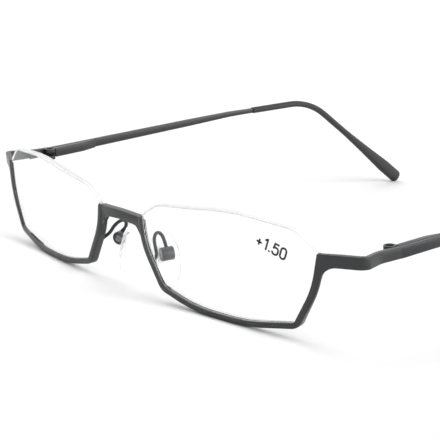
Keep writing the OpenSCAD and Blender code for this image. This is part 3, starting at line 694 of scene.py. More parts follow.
class GLASSES_OT_stage(Operator):
    """Adds the floor, the soft lights, the white surroundings and the camera"""
    bl_idname = "glasses.stage"
    bl_label = "Stage"

    # Spread of each lamp in degrees, and which way its light goes: a soft key from the left and above,
    # and a low wide fill from behind on the right
    LAMPS = {"key": (45, (0.75, -0.1, -0.9)), "fill": (70, (-0.85, -0.45, -0.22))}
    # Half the width of the floor, and the gap that keeps it clear of the lowest point
    FLOOR_HALF = 3.0
    FLOOR_GAP = 0.02 * MM
    # Nearest and furthest that the camera sees
    CLIP = (10 * MM, 20.0)

    def execute(self, context):
        scene = context.scene
        stage = scene.glasses_stage
        self.add_floor(scene)
        for name, (spread, towards) in self.LAMPS.items():
            self.add_light(scene, name, getattr(stage, name), spread, Vector(towards))
        self.add_surroundings(scene, stage)
        self.add_camera(scene, stage)
        scene.view_settings.view_transform = "Standard"
        return {"FINISHED"}

    def add_floor(self, scene):
        bm = bmesh.new()
        bmesh.ops.create_grid(bm, x_segments=1, y_segments=1, size=self.FLOOR_HALF)
        mesh = bpy.data.meshes.new("floor")
        bm.to_mesh(mesh)
        bm.free()
        mesh.materials.append(finish("matte_white_paper", pale_floor, scene.glasses_colours.floor))
        floor = bpy.data.objects.new("floor", mesh)
        floor.location.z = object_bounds()[0].z - self.FLOOR_GAP
        scene.collection.objects.link(floor)
        floor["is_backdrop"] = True

    def add_light(self, scene, name, strength, spread, towards):
        lamp = bpy.data.lights.new(name, "SUN")
        lamp.energy = strength
        lamp.angle = math.radians(spread)
        light = bpy.data.objects.new(name, lamp)
        light.rotation_mode = "QUATERNION"
        light.rotation_quaternion = towards.to_track_quat("-Z", "Y")
        scene.collection.objects.link(light)

    def add_surroundings(self, scene, stage):
        """White to the camera, to reflections and through glass, and a plain ambient light on surfaces."""
        world = bpy.data.worlds.new("surroundings")
        world.use_nodes = True
        tree = world.node_tree
        tree.nodes.clear()
        path = add_node(tree, "ShaderNodeLightPath")
        seen = add_node(tree, "ShaderNodeMath", {
            0: path.outputs["Is Camera Ray"], 1: path.outputs["Is Glossy Ray"]}, operation="MAXIMUM")
        white = add_node(tree, "ShaderNodeMath", {
            0: seen.outputs[0], 1: path.outputs["Is Transmission Ray"]}, operation="MAXIMUM")
        strength = add_node(tree, "ShaderNodeMapRange", {
            "Value": white.outputs[0], "To Min": stage.ambient})
        background = add_node(tree, "ShaderNodeBackground", {
            "Color": (1.0, 1.0, 1.0, 1.0), "Strength": strength.outputs[0]})
        add_node(tree, "ShaderNodeOutputWorld", {"Surface": background.outputs[0]})
        scene.world = world

    def add_camera(self, scene, stage):
        a, e = stage.azimuth, stage.elevation
        back = Vector((math.sin(a) * math.cos(e), -math.cos(a) * math.cos(e), math.sin(e)))
        level = Vector((math.cos(a), math.sin(a), 0))
        steep = back.cross(level)
        right = math.cos(stage.roll) * level + math.sin(stage.roll) * steep
        up = math.cos(stage.roll) * steep - math.sin(stage.roll) * level
        lens = bpy.data.cameras.new("camera")
        lens.lens = stage.focal
        lens.sensor_width = 36.0
        lens.shift_x, lens.shift_y = stage.shift
        lens.clip_start, lens.clip_end = self.CLIP
        camera = bpy.data.objects.new("camera", lens)
        camera.matrix_world = axes_frame(right, up, back, Vector(stage.target) + back * stage.distance)
        scene.collection.objects.link(camera)
        scene.camera = camera


class GLASSES_OT_rims(SidedPiece, Operator):
    """Models the two grooved rim strips that hold the lower three sides of the lenses"""
    bl_idname = "glasses.rims"
    bl_label = "Rims"
    piece, node = "rim_strip", "rim"

    # Share of the strip's depth that belongs to its front face where it spreads
    FACE = 0.3
    # Power by which the spread grows with the height: below 1 it grows faster at first
    GROWTH = 0.6
    # Shares of the strip's width between which the points of its outer wall lie
    WALL = (0.6, 1.1)
    # How much both ends are filed off towards the back, below the top of bridge and endpiece
    FILED = 0.45

    def model(self, bm, scene):
        lens, front = scene.glasses_lens, scene.glasses_front
        face = self.section(bm, lens, front)
        frames = self.stations(lens)
        sweep_closed(bm, face, frames)
        for station in frames:
            self.spread(bm, station, lens, front)
        bmesh.ops.transform(bm, matrix=lens_frame(lens, front), verts=bm.verts)

    def spread(self, bm, station, lens, front):
        """Widens the front face on the temple side towards the endpiece, and draws in the wall behind."""
        place = station.translation
        if place.x < 0:
            return
        rise = (place.z + lens.temple_corner_down) / (lens.corner_up + lens.temple_corner_down)
        share = min(1, max(0, rise)) ** self.GROWTH
        inverse = station.inverted()
        for v in bm.verts:
            x, y, off = inverse @ v.co
            if abs(off) > SAME or not self.WALL[0] < x / front.rim_width < self.WALL[1]:
                continue
            behind = max(0, (y / front.rim_depth - self.FACE) / (1 - self.FACE))
            move = front.rim_spread - (front.rim_spread + front.rim_draw) * behind
            v.co = station @ Vector((x + share * move, y, 0))

    def section(self, bm, lens, front):
        """The strip's section: X away from the lens, Y from front to back, with the groove at X = 0."""
        groove_front = lens.inset + lens.bevel_front - lens.clearance
        groove_back = groove_front + lens.bevel_width + 2 * lens.clearance
        points = [
            (0, 0), (front.rim_width, 0), (front.rim_width, front.rim_depth * self.FACE),
            (front.rim_width, front.rim_depth), (0, front.rim_depth),
            (0, groove_back), (front.rim_groove, groove_back), (front.rim_groove, groove_front),
            (0, groove_front)]
        face = new_face(bm, points)
        middle = front.rim_depth / 2
        outer = [v for v in face.verts if abs(v.co.y - middle) > middle - SAME]
        return round_section(bm, outer, front.edge_radius)

    def stations(self, lens):
        """Frames along the lens's edge from one top corner to the other, cut level at both ends."""
        outline = lens_outline(lens)
        top, knee = outline[0], outline[1]
        nose_up = lens.corner_up - lens.nose_drop
        share = (top[1] - nose_up) / (top[1] - knee[1])
        start = (top[0] + (knee[0] - top[0]) * share, nose_up, 0)
        points = rounded([start] + outline[1:8], closed=False)
        found = []
        for i, (p, (along, mitre)) in enumerate(zip(points, tangents(points))):
            end = i in (0, len(points) - 1)
            out = Vector((1 / along.y, 0)) if end else Vector((along.y, -along.x)) * mitre
            step = out * MM / 2
            slope = front_sag(lens, *(p + step)) - front_sag(lens, *(p - step))
            across = Vector((out.x, slope / MM, out.y))
            back = Vector((0, 1, -self.FILED if end else 0))
            place = Vector((p.x, front_sag(lens, *p), p.y))
            found.append(axes_frame(across, back, Vector((along.x, 0, along.y)), place))
        return found


class GLASSES_OT_bridge(Operator):
    """Models the flat bridge band with a flare under each end"""
    bl_idname = "glasses.bridge"
    bl_label = "Bridge"

    # Radii of the band's arched upper and lower edges, and of the corner where each flare starts
    TOP_RADIUS = 60 * MM
    LOW_RADIUS = 20 * MM
    FLARE_RADIUS = 1.5 * MM
    # How far the flares start below the band's height
    FLARE_DROP = 0.2 * MM

    def execute(self, context):
        scene = context.scene
        lens, front = scene.glasses_lens, scene.glasses_front
        bm = bmesh.new()
        y = self.front_face(lens, front)
        face = new_face(bm, [(p.x, y, p.y) for p in rounded(self.outline(lens, front))])
        extruded(bm, face, Vector((0, front.bridge_thickness, 0)))
        rims = [e for e in bm.edges if abs(e.verts[0].co.y - e.verts[1].co.y) < SAME]
        bevel_edges(bm, rims, front.edge_radius)
        bmesh.ops.transform(bm, matrix=front_frame(front), verts=bm.verts)
        add_piece("bridge_band", bm, LEFT, lacquer(scene), "front", ["bridge"])
        return {"FINISHED"}

    def front_face(self, lens, front):
        u = -lens.width / 2 - front.rim_width
        sag = front_sag(lens, u, lens.corner_up)
        return u * math.sin(front.wrap) + sag * math.cos(front.wrap)

    def outline(self, lens, front):
        """Front view of the band. Its ends lie inside the two rim strips."""
        top = lens.corner_up - lens.nose_drop
        middle = lens_middle(lens, front)
        low = top - front.bridge_height - self.FLARE_DROP
        flare_low = low - front.flare_height
        knee = lens_outline(lens)[1]
        slant = (knee[0] + lens.width / 2) / (lens.corner_up - knee[1])
        inside = front.rim_width / 2

        def end(w):
            u = -lens.width / 2 + slant * (lens.corner_up - w) - inside
            return middle + u * math.cos(front.wrap) - front_sag(lens, u, w) * math.sin(front.wrap)

        flare_at = middle - lens.width / 2 * math.cos(front.wrap) - front.flare_width
        half = [
            (flare_at, low, self.FLARE_RADIUS),
            (end(flare_low), flare_low, 0),
            (end(top), top, 0)]
        other_half = [(-x, w, r) for x, w, r in reversed(half)]
        crown = top + front.bridge_arch
        return ([(0, crown, self.TOP_RADIUS)] + other_half
                + [(0, crown - front.bridge_height, self.LOW_RADIUS)] + half)


class GLASSES_OT_endpieces(SidedPiece, Operator):
    """Models the endpiece strips that leave the rims, bend back and end at the hinge seams"""
    bl_idname = "glasses.endpieces"
    bl_label = "Endpieces"
    piece, node = "endpiece_strip", "endpiece"

    # How far inside the rim the strip starts, across and forwards
    INSIDE = 1.0 * MM
    FORWARD = 0.33 * MM
    # Where the strip turns to run along the temple: the distance before the screw, and the radius
    TURN_AT = 4.7 * MM
    TURN_RADIUS = 8 * MM
    # Depth of the strip's root as a share of the rim's, because only the rim's front face spreads
    ROOT = 0.5
    # Rounding of the strip's edges, in edge radii
    ROUNDER = 1.2
    # Number of steps along the fillet's arc
    FILLET_STEPS = 14

    def model(self, bm, scene):
        front = scene.glasses_front
        face = bar_section(
            bm, [(0, 0), (1, 0), (1, 1), (0, 1)], (front.strip_thickness, front.strip_height, 1),
            front.edge_radius * self.ROUNDER, (1, 1 / front.strip_height, 1))
        sweep_closed(bm, face, self.stations(scene))

    def stations(self, scene):
        """Frames whose X is the strip's thickness inwards and whose Y is its height, from rim to seam."""
        lens, front, temple = scene.glasses_lens, scene.glasses_front, scene.glasses_temple
        u = lens.width / 2 + front.rim_width
        sag = front_sag(lens, u, lens.corner_up)
        rim = Vector((
            lens_middle(lens, front) + u * math.cos(front.wrap) - sag * math.sin(front.wrap),
            u * math.sin(front.wrap) + sag * math.cos(front.wrap)))
        bend = Vector((front.front_width / 2, front.bend_back))
        start = rim - Vector((self.INSIDE, self.FORWARD))
        span = front.temple_span / 2
        seam = front.hinge_back + temple.seam_back
        path = [
            (*start, 0),
            (*rim, 0),
            (*bend, front.bend_radius),
            (span, front.hinge_back - self.TURN_AT, self.TURN_RADIUS),
            (span, seam, 0)]
        points = rounded(path, closed=False, step=math.radians(8))
        place = front_frame(front)
        foot, top = self.fillet(lens, front, rim)
        found = []
        for p, (along, mitre) in zip(points, tangents(points)):
            if p.x < foot[-1].x:
                continue
            inward = Vector((-along.y, along.x)) * mitre
            low, high = self.heights(lens, front, temple, p)
            found.append(place @ axes_frame(
                inward, Vector((0, 0, high - low)), along, Vector((p.x, p.y, low))))
        # Stations that fan out from the rim's slant to upright, with their feet on the fillet's arc
        along = (bend - rim).normalized()
        inward = Vector((-along.y, along.x, 0))

        def on_front(x):
            slope = along if x > rim.x else rim - start
            return rim.y + (x - rim.x) * slope.y / slope.x

        fan = []
        root = self.ROOT * front.rim_depth / front.strip_thickness
        for k, (low, high) in enumerate(zip(foot, top)):
            low_point = Vector((low.x, on_front(low.x), low.y))
            high_point = Vector((high, on_front(high), lens.corner_up))
            # From the root's depth to the strip's own thickness at the fillet's end
            thicker = root + (1 - root) * k / (len(foot) - 1)
            fan.append(place @ axes_frame(inward * thicker, high_point - low_point, along, low_point))
        return fan + found

    def fillet(self, lens, front, rim):
        """Feet on the arc between the rim's slanting outer wall and the strip, and the tops above them."""
        corner, knee = lens_outline(lens)[-4], lens_outline(lens)[-5]
        slant = math.atan2(corner[0] - knee[0], corner[1] - knee[1])
        low = lens.corner_up - front.strip_height
        reach = front.fillet * math.tan(math.radians(45) - slant / 2)
        at_low = rim.x + front.rim_spread - front.strip_height * math.tan(slant)
        middle = Vector((at_low + reach, low - front.fillet))
        steps = self.FILLET_STEPS
        turns = [math.pi - slant - (math.pi / 2 - slant) * k / steps for k in range(steps + 1)]
        arc = [middle + front.fillet * Vector((math.cos(t), math.sin(t))) for t in turns]
        foot = [arc[0] - Vector((self.INSIDE, 0))] + arc
        first = rim.x - self.INSIDE
        top = [first + (middle.x - first) * k / (len(foot) - 1) for k in range(len(foot))]
        return foot, top

    def heights(self, lens, front, temple, p):
        """Lower and upper edge of the strip at a point of its plan."""
        top = lens.corner_up
        low = top - front.strip_height
        arm_low = front.hinge_up - temple.height / 2 - math.sin(temple.rise - front.lean) * temple.seam_back
        share = min(1, max(0, (p.y - front.bend_back) / (front.hinge_back - front.bend_back)))
        return low + (arm_low - low) * share, top + (arm_low + temple.height - top) * share


class GLASSES_OT_lenses(SidedPiece, Operator):
    """Models the two clear meniscus lenses with their ridge and groove"""
    bl_idname = "glasses.lenses"
    bl_label = "Lenses"
    piece, node, slot = "clear_lens", "lens", "lens"
    sharp = 25

    # How much the ridge and the groove narrow from their foot or mouth, on each side
    RIDGE_SLOPE = 0.18 * MM
    GROOVE_SLOPE = 0.06 * MM
    # Cells of the flat blank across and up, and how much larger it is cut than the outline
    CELLS = (44, 24)
    OVERSIZE = 1.1
    # Distances under which points of the cut blank, and of the finished lens, are one
    BLANK_WELD = 0.02 * MM
    LENS_WELD = 0.003 * MM

    def model(self, bm, scene):
        lens = scene.glasses_lens
        self.flat_blank(bm, lens)
        self.grind(bm, lens)
        bmesh.ops.transform(bm, matrix=lens_frame(lens, scene.glasses_front), verts=bm.verts)

    def material(self, scene):
        return finish("clear_cast_lens_resin", clear_resin), finish("ground_lens_edge", ground_edge)

    def complete(self, scene, name, piece):
        piece.visible_shadow = False

    def flat_blank(self, bm, lens):
        """A fine flat grid cut to the outline, less the chamfer. X is across and Z is up."""
        outline = rounded(moved_path(lens_outline(lens), lens.clearance + lens.chamfer))
        bmesh.ops.create_grid(bm, x_segments=self.CELLS[0], y_segments=self.CELLS[1], size=0.5)
        size = Vector((lens.width, lens.crown_up + lens.belly_down, 1)) * self.OVERSIZE
        bmesh.ops.scale(bm, vec=size, verts=bm.verts)
        bmesh.ops.translate(bm, vec=(0, (lens.crown_up - lens.belly_down) / 2, 0), verts=bm.verts)
        for a, b in zip(outline, outline[1:] + outline[:1]):
            side = b - a
            bmesh.ops.bisect_plane(
                bm, geom=bm.verts[:] + bm.edges[:] + bm.faces[:], dist=1e-6 * MM, plane_co=a.to_3d(),
                plane_no=Vector((side.y, -side.x, 0)), clear_outer=True)
        bmesh.ops.remove_doubles(bm, verts=bm.verts, dist=self.BLANK_WELD)

    def profile(self, lens, start, width, slope, height):
        """Rings over the edge: how far out of the outline, and how far behind the front curve.

        The last one has no depth of its own, because it is the chamfer in front of the back curve.
        """
        foot, crown = lens.chamfer, lens.chamfer + height
        return [(foot, lens.chamfer), (foot, start), (crown, start + slope), (crown, start + width - slope),
                (foot, start + width), (foot, None)]

    def grind(self, bm, lens):
        """Bends the blank to its front curve, adds the edge with ridge or groove, and closes the back."""
        outward = self.outward_at_edge(bm)
        back_start = lens.inset + lens.thickness
        copied = bmesh.ops.duplicate(bm, geom=bm.verts[:] + bm.edges[:] + bm.faces[:])
        back_verts = set(only(bmesh.types.BMVert, copied["geom"]))
        edge = [e for e in bm.edges if e.is_boundary and e.verts[0] not in back_verts]
        ridge = self.profile(lens, lens.bevel_front, lens.bevel_width, self.RIDGE_SLOPE, lens.bevel_height)
        groove = self.profile(
            lens, lens.groove_front, lens.groove_width, self.GROOVE_SLOPE, -lens.groove_depth)
        start = {v: v.co.copy() for e in edge for v in e.verts}
        for k in range(len(ridge) + 1):
            edge, verts, faces = next_ring(bm, edge)
            for face in faces:
                # Within the rim the edge is clear, and above it the edge is left as it was ground
                x, y, _ = sum((v.co for v in face.verts if v not in verts), Vector()) / 2
                face.material_index = int(y > lens.corner_up - (lens.nose_drop if x < 0 else 0))
            now = {}
            for v in verts:
                before = next(e.other_vert(v) for e in v.link_edges if e.other_vert(v) not in verts)
                base = start[before]
                now[v] = base
                back = back_start + sphere_sag(lens.back_radius, base.x, base.y)
                if k == len(ridge):
                    v.co = Vector((base.x, base.y, back))
                    continue
                out, behind = (groove if base.y > lens.corner_up else ridge)[k]
                if behind is None:
                    depth = back - lens.chamfer
                else:
                    depth = lens.inset + front_sag(lens, base.x, base.y) + behind
                outer = base + outward(base) * out
                v.co = Vector((outer.x, outer.y, depth))
            start = now
        for v in bm.verts:
            if v in back_verts:
                v.co.z = back_start + sphere_sag(lens.back_radius, v.co.x, v.co.y)
            elif abs(v.co.z) < SAME:
                v.co.z = lens.inset + front_sag(lens, v.co.x, v.co.y)
        bmesh.ops.remove_doubles(bm, verts=bm.verts, dist=self.LENS_WELD)
        for v in bm.verts:
            v.co.yz = v.co.zy

    def outward_at_edge(self, bm):
        """A function that gives the direction out of the flat blank at a point of its edge."""
        def key(p):
            return round(p.x, 7), round(p.y, 7)

        directions = {}
        for v in bm.verts:
            if not v.is_boundary:
                continue
            n = Vector((0, 0, 0))
            for end in [e.other_vert(v).co for e in v.link_edges if e.is_boundary]:
                side = (end - v.co).normalized()
                across = Vector((side.y, -side.x, 0))
                n += across if across.dot(v.co) > 0 else -across
            directions[key(v.co)] = n.normalized()
        return lambda p: directions[key(p)]


class GLASSES_OT_cords(Operator):
    """Finishes the clear nylon that holds each lens along its bare edge"""
    bl_idname = "glasses.cords"
    bl_label = "Lens cords"

    def execute(self, context):
        material = clear_soft(
            "drawn_clear_nylon", "#fcfdfd", roughness=0.3, grain_mm=1.5, ior=1.2, clear=0.2)
        for name in SIDES:
            node = dress_node(f"{name}_lens_cord", material, rounds=1)
            node.visible_shadow = False
        return {"FINISHED"}


# Strokes of the signs that powers in quarter dioptres below four use, on a height of 1: the sign's width,
# then lines of (x, y, corner radius)
NUMERALS = {
    "+": (0.62, [[(-0.27, 0.37, 0), (0.27, 0.37, 0)], [(0, 0.1, 0), (0, 0.64, 0)]]),
    "-": (0.62, [[(-0.27, 0.37, 0), (0.27, 0.37, 0)]]),
    ".": (0.16, [[(0, 0, 0), (0, 0.15, 0)]]),
    "0": (0.56, [[(0, 0.95, 0), (-0.25, 0.95, 0.24), (-0.25, 0.05, 0.24), (0, 0.05, 0)],
                 [(0, 0.05, 0), (0.25, 0.05, 0.24), (0.25, 0.95, 0.24), (0, 0.95, 0)]]),
    "1": (0.34, [[(-0.16, 0.76, 0), (0.09, 0.92, 0)], [(0.09, 0, 0), (0.09, 1, 0)]]),
    "2": (0.56, [[(-0.25, 0.7, 0), (-0.25, 0.95, 0.22), (0.25, 0.95, 0.22), (0.25, 0.55, 0.15),
                  (-0.24, 0.06, 0)], [(-0.28, 0.06, 0), (0.27, 0.06, 0)]]),
    "3": (0.56, [[(-0.24, 0.72, 0), (-0.24, 0.95, 0.2), (0.23, 0.95, 0.2), (0.23, 0.53, 0.2),
                  (-0.04, 0.53, 0)],
                 [(-0.04, 0.53, 0), (0.27, 0.53, 0.22), (0.27, 0.05, 0.22), (-0.26, 0.05, 0.22),
                  (-0.26, 0.28, 0)]]),
    "5": (0.56, [[(0.25, 0.94, 0), (-0.15, 0.94, 0), (-0.22, 0.48, 0)],
                 [(-0.24, 0.52, 0), (-0.12, 0.64, 0.1), (0.26, 0.64, 0.22), (0.26, 0.05, 0.24),
                  (-0.26, 0.05, 0.2), (-0.26, 0.27, 0)]]),
    "7": (0.56, [[(-0.26, 0.94, 0), (0.27, 0.94, 0)], [(0.24, 0.94, 0), (0, 0.5, 0.3), (-0.08, 0, 0)]]),
}


class GLASSES_OT_label(Operator):
    """Prints the lens power on the near lens"""
    bl_idname = "glasses.label"
    bl_label = "Lens power print"

    # How far the print stands off the front of the lens
    STAND_OFF = 0.02 * MM

    def execute(self, context):
        scene = context.scene
        lens, label = scene.glasses_lens, scene.glasses_label
        bm = bmesh.new()
        pen = 0.0
        for sign in label.text:
            width, strokes = NUMERALS[sign]
            for stroke in strokes:
                self.pen_stroke(bm, stroke, pen + width / 2, label)
            pen += width + label.spacing / label.height
        bmesh.ops.translate(bm, vec=(-pen * label.height / 2, -label.height / 2, 0), verts=bm.verts)
        bmesh.ops.rotate(bm, matrix=Matrix.Rotation(-label.turn, 3, "Z"), verts=bm.verts)
        bmesh.ops.translate(bm, vec=(label.across, label.up, 0), verts=bm.verts)
        for v in bm.verts:
            depth = lens.inset + front_sag(lens, v.co.x, v.co.y) - self.STAND_OFF
            v.co = Vector((v.co.x, depth, v.co.y))
        bmesh.ops.transform(bm, matrix=lens_frame(lens, scene.glasses_front), verts=bm.verts)
        material = finish("pad_printed_ink", printed_ink, scene.glasses_colours.print_ink)
        add_piece("lens_power_print", bm, LEFT, material, "front")
        return {"FINISHED"}

    def pen_stroke(self, bm, stroke, middle, label):
        """One stroke of a numeral, as a flat band along its line."""
        line = [(x * label.height, y * label.height, r * label.height) for x, y, r in stroke]
        points = rounded(line, closed=False, step=math.radians(15))
        half = label.weight / 2
        frames = []
        for p, (along, mitre) in zip(points, tangents(points)):
            across = Vector((along.y, -along.x)) * mitre * half
            place = Vector((p.x + middle * label.height, p.y))
            frames.append(axes_frame(across, Vector((0, 0, 1)), along, place))
        ends = [bm.verts.new(frames[0] @ Vector((side, 0, 0))) for side in (-1, 1)]
        sweep(bm, [bm.edges.new(ends)], frames)


class GLASSES_OT_pad_arms(SidedPiece, Operator):
    """Models the goose-neck wires that carry the nose pads"""
    bl_idname = "glasses.pad_arms"
    bl_label = "Pad arms"
    piece, node = "pad_wire", "pad_arm"

    # Middle of the wire in the frame of the front, in millimetres, from the rim's back to the pad box
    ROUTE = [
        (11.0, 0.2, -2.8), (10.3, 1.5, -1.9), (9.3, 2.15, -0.9), (8.2, 2.75, 0.7), (7.45, 3.8, 1.7),
        (7.3, 4.9, 1.7), (7.5, 5.6, 0.9), (8.1, 5.7, -0.3), (8.9, 5.4, -1.2), (9.4, 5.25, -1.65)]
    # Number of steps from one point of the route to the next
    ROUTE_STEPS = 6

    def model(self, bm, scene):
        points = self.curve([Vector(p) * MM for p in self.ROUTE], self.ROUTE_STEPS)
        frames = [front_frame(scene.glasses_front) @ f for f in self.stations(points)]
        ring = bmesh.ops.create_circle(bm, segments=16, radius=scene.glasses_pad.arm / 2, cap_ends=True)
        sweep_closed(bm, ring["verts"][0].link_faces[0], frames)

    def curve(self, points, steps):
        """Points of a smooth curve through the route."""
        found = []
        for i in range(len(points) - 1):
            a, b, c = points[max(i - 1, 0)], points[i], points[i + 1]
            d = points[min(i + 2, len(points) - 1)]
            for k in range(steps):
                t = k / steps
                found.append(0.5 * (2 * b + (c - a) * t + (2 * a - 5 * b + 4 * c - d) * t * t
                                    + (3 * b - a - 3 * c + d) * t ** 3))
        return found + [points[-1]]

    def stations(self, points):
        """Frames along the wire that turn with it and never twist."""
        side = Vector((1, 0, 0))
        found = []
        for p, (along, _) in zip(points, tangents(points)):
            side = (side - side.dot(along) * along).normalized()
            found.append(axes_frame(side, along.cross(side), along, p))
        return found


class GLASSES_OT_nose_pads(SidedPiece, Operator):
    """Models the silicone nose pads and finishes their boxes, screws and cores"""
    bl_idname = "glasses.nose_pads"
    bl_label = "Nose pads"
    piece, node, body, slot = "silicone_pad", "nose_pad", "{}_pad", "silicone"

    # Power that fills the ball out towards a block: 1 keeps the ball
    FULL = 0.72
    # Silicone behind the plate of the core
    WALL = 0.6 * MM
    # Share of the thickness that the pad loses towards its rim
    DOME = 0.25

    def model(self, bm, scene):
        pad = scene.glasses_pad
        bmesh.ops.create_uvsphere(bm, u_segments=40, v_segments=24, radius=1)
        for v in bm.verts:
            self.shape(v.co, pad)
        bmesh.ops.transform(bm, matrix=pad_frame(pad, scene.glasses_front), verts=bm.verts)

    def material(self, scene):
        return finish(
            "moulded_clear_silicone", clear_soft, "#fcfdfd", roughness=0.03, grain_mm=2.0, ior=1.1,
            clear=0.93)

    def complete(self, scene, name, piece):
        colours = scene.glasses_colours
        core = finish(
            "moulded_clear_polycarbonate", clear_soft, "#fdfdfd", roughness=0.2, grain_mm=2.0, ior=1.09,
            clear=0.35)
        # The boxes get a paler copy of the frame's lacquer: painted sheen for the light that their faces
        # reflect
        grey = finish("grey_satin_lacquer", satin_lacquer, colours.box)
        steel = finish("turned_stainless_steel", turned_steel, colours.steel)
        piece.visible_shadow = False
        dress_node(f"{name}_pad_core", core, soften=0.06 * MM).visible_shadow = False
        dress_node(f"{name}_pad_box", grey, soften=0.1 * MM)
        dress_node(f"{name}_pad_screw", steel, soften=0.04 * MM)

    def shape(self, co, pad):
        """Takes a unit ball to a full D: flat towards the box, domed towards the nose."""
        x, y, z = (superellipse(c, 1, self.FULL) for c in co)
        size = max(1e-6, math.hypot(y, z))
        rim = min(1.0, size)
        y, z = y / size * rim, z / size * rim
        dome = pad.thickness * (1 - x) / 2
        co.x = self.WALL - pad.plate_out - dome * (1 - self.DOME * rim * rim)
        co.y = y * pad.width / 2
        co.z = z * pad.height / 2 - pad.low


class GLASSES_OT_hinges(SidedPiece, Operator):
    """Finishes the hinges and models the spring housings"""
    bl_idname = "glasses.hinges"
    bl_label = "Spring hinges"
    piece, node, body = "spring_box", "spring_housing", "{}_arm"

    # Gap between the knuckles and the housing
    MOUTH_GAP = 0.3 * MM
    # Share of the housing's length at which it starts to thin, and the radius there
    THIN_AT = 0.66
    THIN_RADIUS = 6 * MM
    # Thickness of the housing's rear end, and the radius of its corner
    REAR = 0.5 * MM
    REAR_RADIUS = 0.2 * MM
    # Rounding of the housing's edges
    SOFT = 0.22 * MM

    def model(self, bm, scene):
        self.housing(bm, scene.glasses_temple, scene.glasses_front)
        bmesh.ops.transform(bm, matrix=hinge_frame(scene.glasses_temple), verts=bm.verts)

    def complete(self, scene, name, piece):
        black = black_steel(scene)
        dress_node(f"{name}_hinge_base", lacquer(scene), soften=0.08 * MM)
        dress_node(f"{name}_hinge_screw", black, soften=0.04 * MM)
        dress_node(f"{name}_hinge_slider", black, soften=0.05 * MM)
        dress_node(f"{name}_spring_stop", black)
        self.coil(scene, name)

    def coil(self, scene, name):
        """The packed spring, pressed together between the housing's shoulder and the stop on the rod."""
        bm = bmesh.new()
        bm.from_mesh(frame["nodes"]["left_hinge_spring"].data)
        bmesh.ops.remove_doubles(bm, verts=bm.verts, dist=NODE_WELD)
        piece = add_piece(
            f"{name}_coil_spring", bm, SIDES[name], black_steel(scene), None,
            [f"{name}_hinge_spring"])
        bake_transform(piece)

    def housing(self, bm, temple, front):
        """A box along the inside of the temple, square at its mouth and thin towards its rear."""
        outer = temple.knuckle / 2 + front.strip_thickness - temple.thickness
        inner = outer - temple.housing_thickness
        start = temple.knuckle / 2 + self.MOUTH_GAP
        rear = start + temple.housing_length
        half = temple.housing_height / 2
        plan = [
            (inner, start, 0), (outer, start, 0), (outer, rear, 0),
            (outer - self.REAR, rear, self.REAR_RADIUS),
            (inner, start + temple.housing_length * self.THIN_AT, self.THIN_RADIUS)]
        face = new_face(bm, [(p.x, p.y, -half) for p in rounded(plan, step=math.radians(3))])
        extruded(bm, face, Vector((0, 0, 2 * half)))
        corners = [e for e in bm.edges if e.calc_face_angle(0) > math.radians(30)]
        bevel_edges(bm, corners, self.SOFT)


def temple_middle(scene):
    """Middle of the temple's thickness, out from the hinge screw."""
    temple = scene.glasses_temple
    return temple.knuckle / 2 + scene.glasses_front.strip_thickness - temple.thickness / 2


def between(a, b, share):
    return a + (b - a) * share


class GLASSES_OT_temples(SidedPiece, Operator):
    """Models the thin tapering temples"""
    bl_idname = "glasses.temples"
    bl_label = "Temples"
    piece, node, body = "temple_bar", "temple", "{}_arm"

    # Rounding of the temple's long edges
    ROUNDING = 0.2 * MM
    # Softening of the end at the seam: its length, and the share of the section that is left
    SEAM_SOFT = 0.06 * MM
    SEAM_SHARE = 0.94
    # Places along the temple where its section is set, in millimetres from the screw
    PLACES = (12, 24, 36, 47, 55, 58, 60, 62, 64, 66)
    # How far the core goes into the sleeve
    CORE = 4 * MM

    def model(self, bm, scene):
        temple = scene.glasses_temple
        thickness, height = temple.thickness, temple.height
        face = bar_section(
            bm, [(-0.5, -0.5), (0.5, -0.5), (0.5, 0.5), (-0.5, 0.5)], (thickness, height, 1),
            self.ROUNDING, (1 / thickness, 1 / height, 1))
        sweep_closed(bm, face, [hinge_frame(temple) @ f for f in self.stations(scene)])

    def stations(self, scene):
        """Frames from the seam to inside the sleeve, as thick and as high as the temple is there."""
        temple = scene.glasses_temple
        start = temple.seam_back + temple.seam_gap
        slope = temple.dip / (temple.bend_at - temple.dip_at)
        places = [start, start + self.SEAM_SOFT]
        places += [y * MM for y in self.PLACES]
        places.append(temple.tip_at + self.CORE)
        found = []
        for y in places:
            share = self.SEAM_SHARE if y == start else 1
            if y < temple.thin_at:
                taper = (y - start) / (temple.thin_at - start)
                high = between(temple.height, temple.middle_height, taper)
            else:
                taper = min(1, (y - temple.thin_at) / (temple.tip_at - temple.thin_at))
                high = between(temple.middle_height, temple.low_height, taper)
            place = Vector((temple_middle(scene), y, -slope * max(0, y - temple.dip_at)))
            found.append(axes_frame(
                Vector((temple.thickness * share, 0, 0)), Vector((0, 0, high * share)), Vector((0, 1, 0)),
                place))
        return found


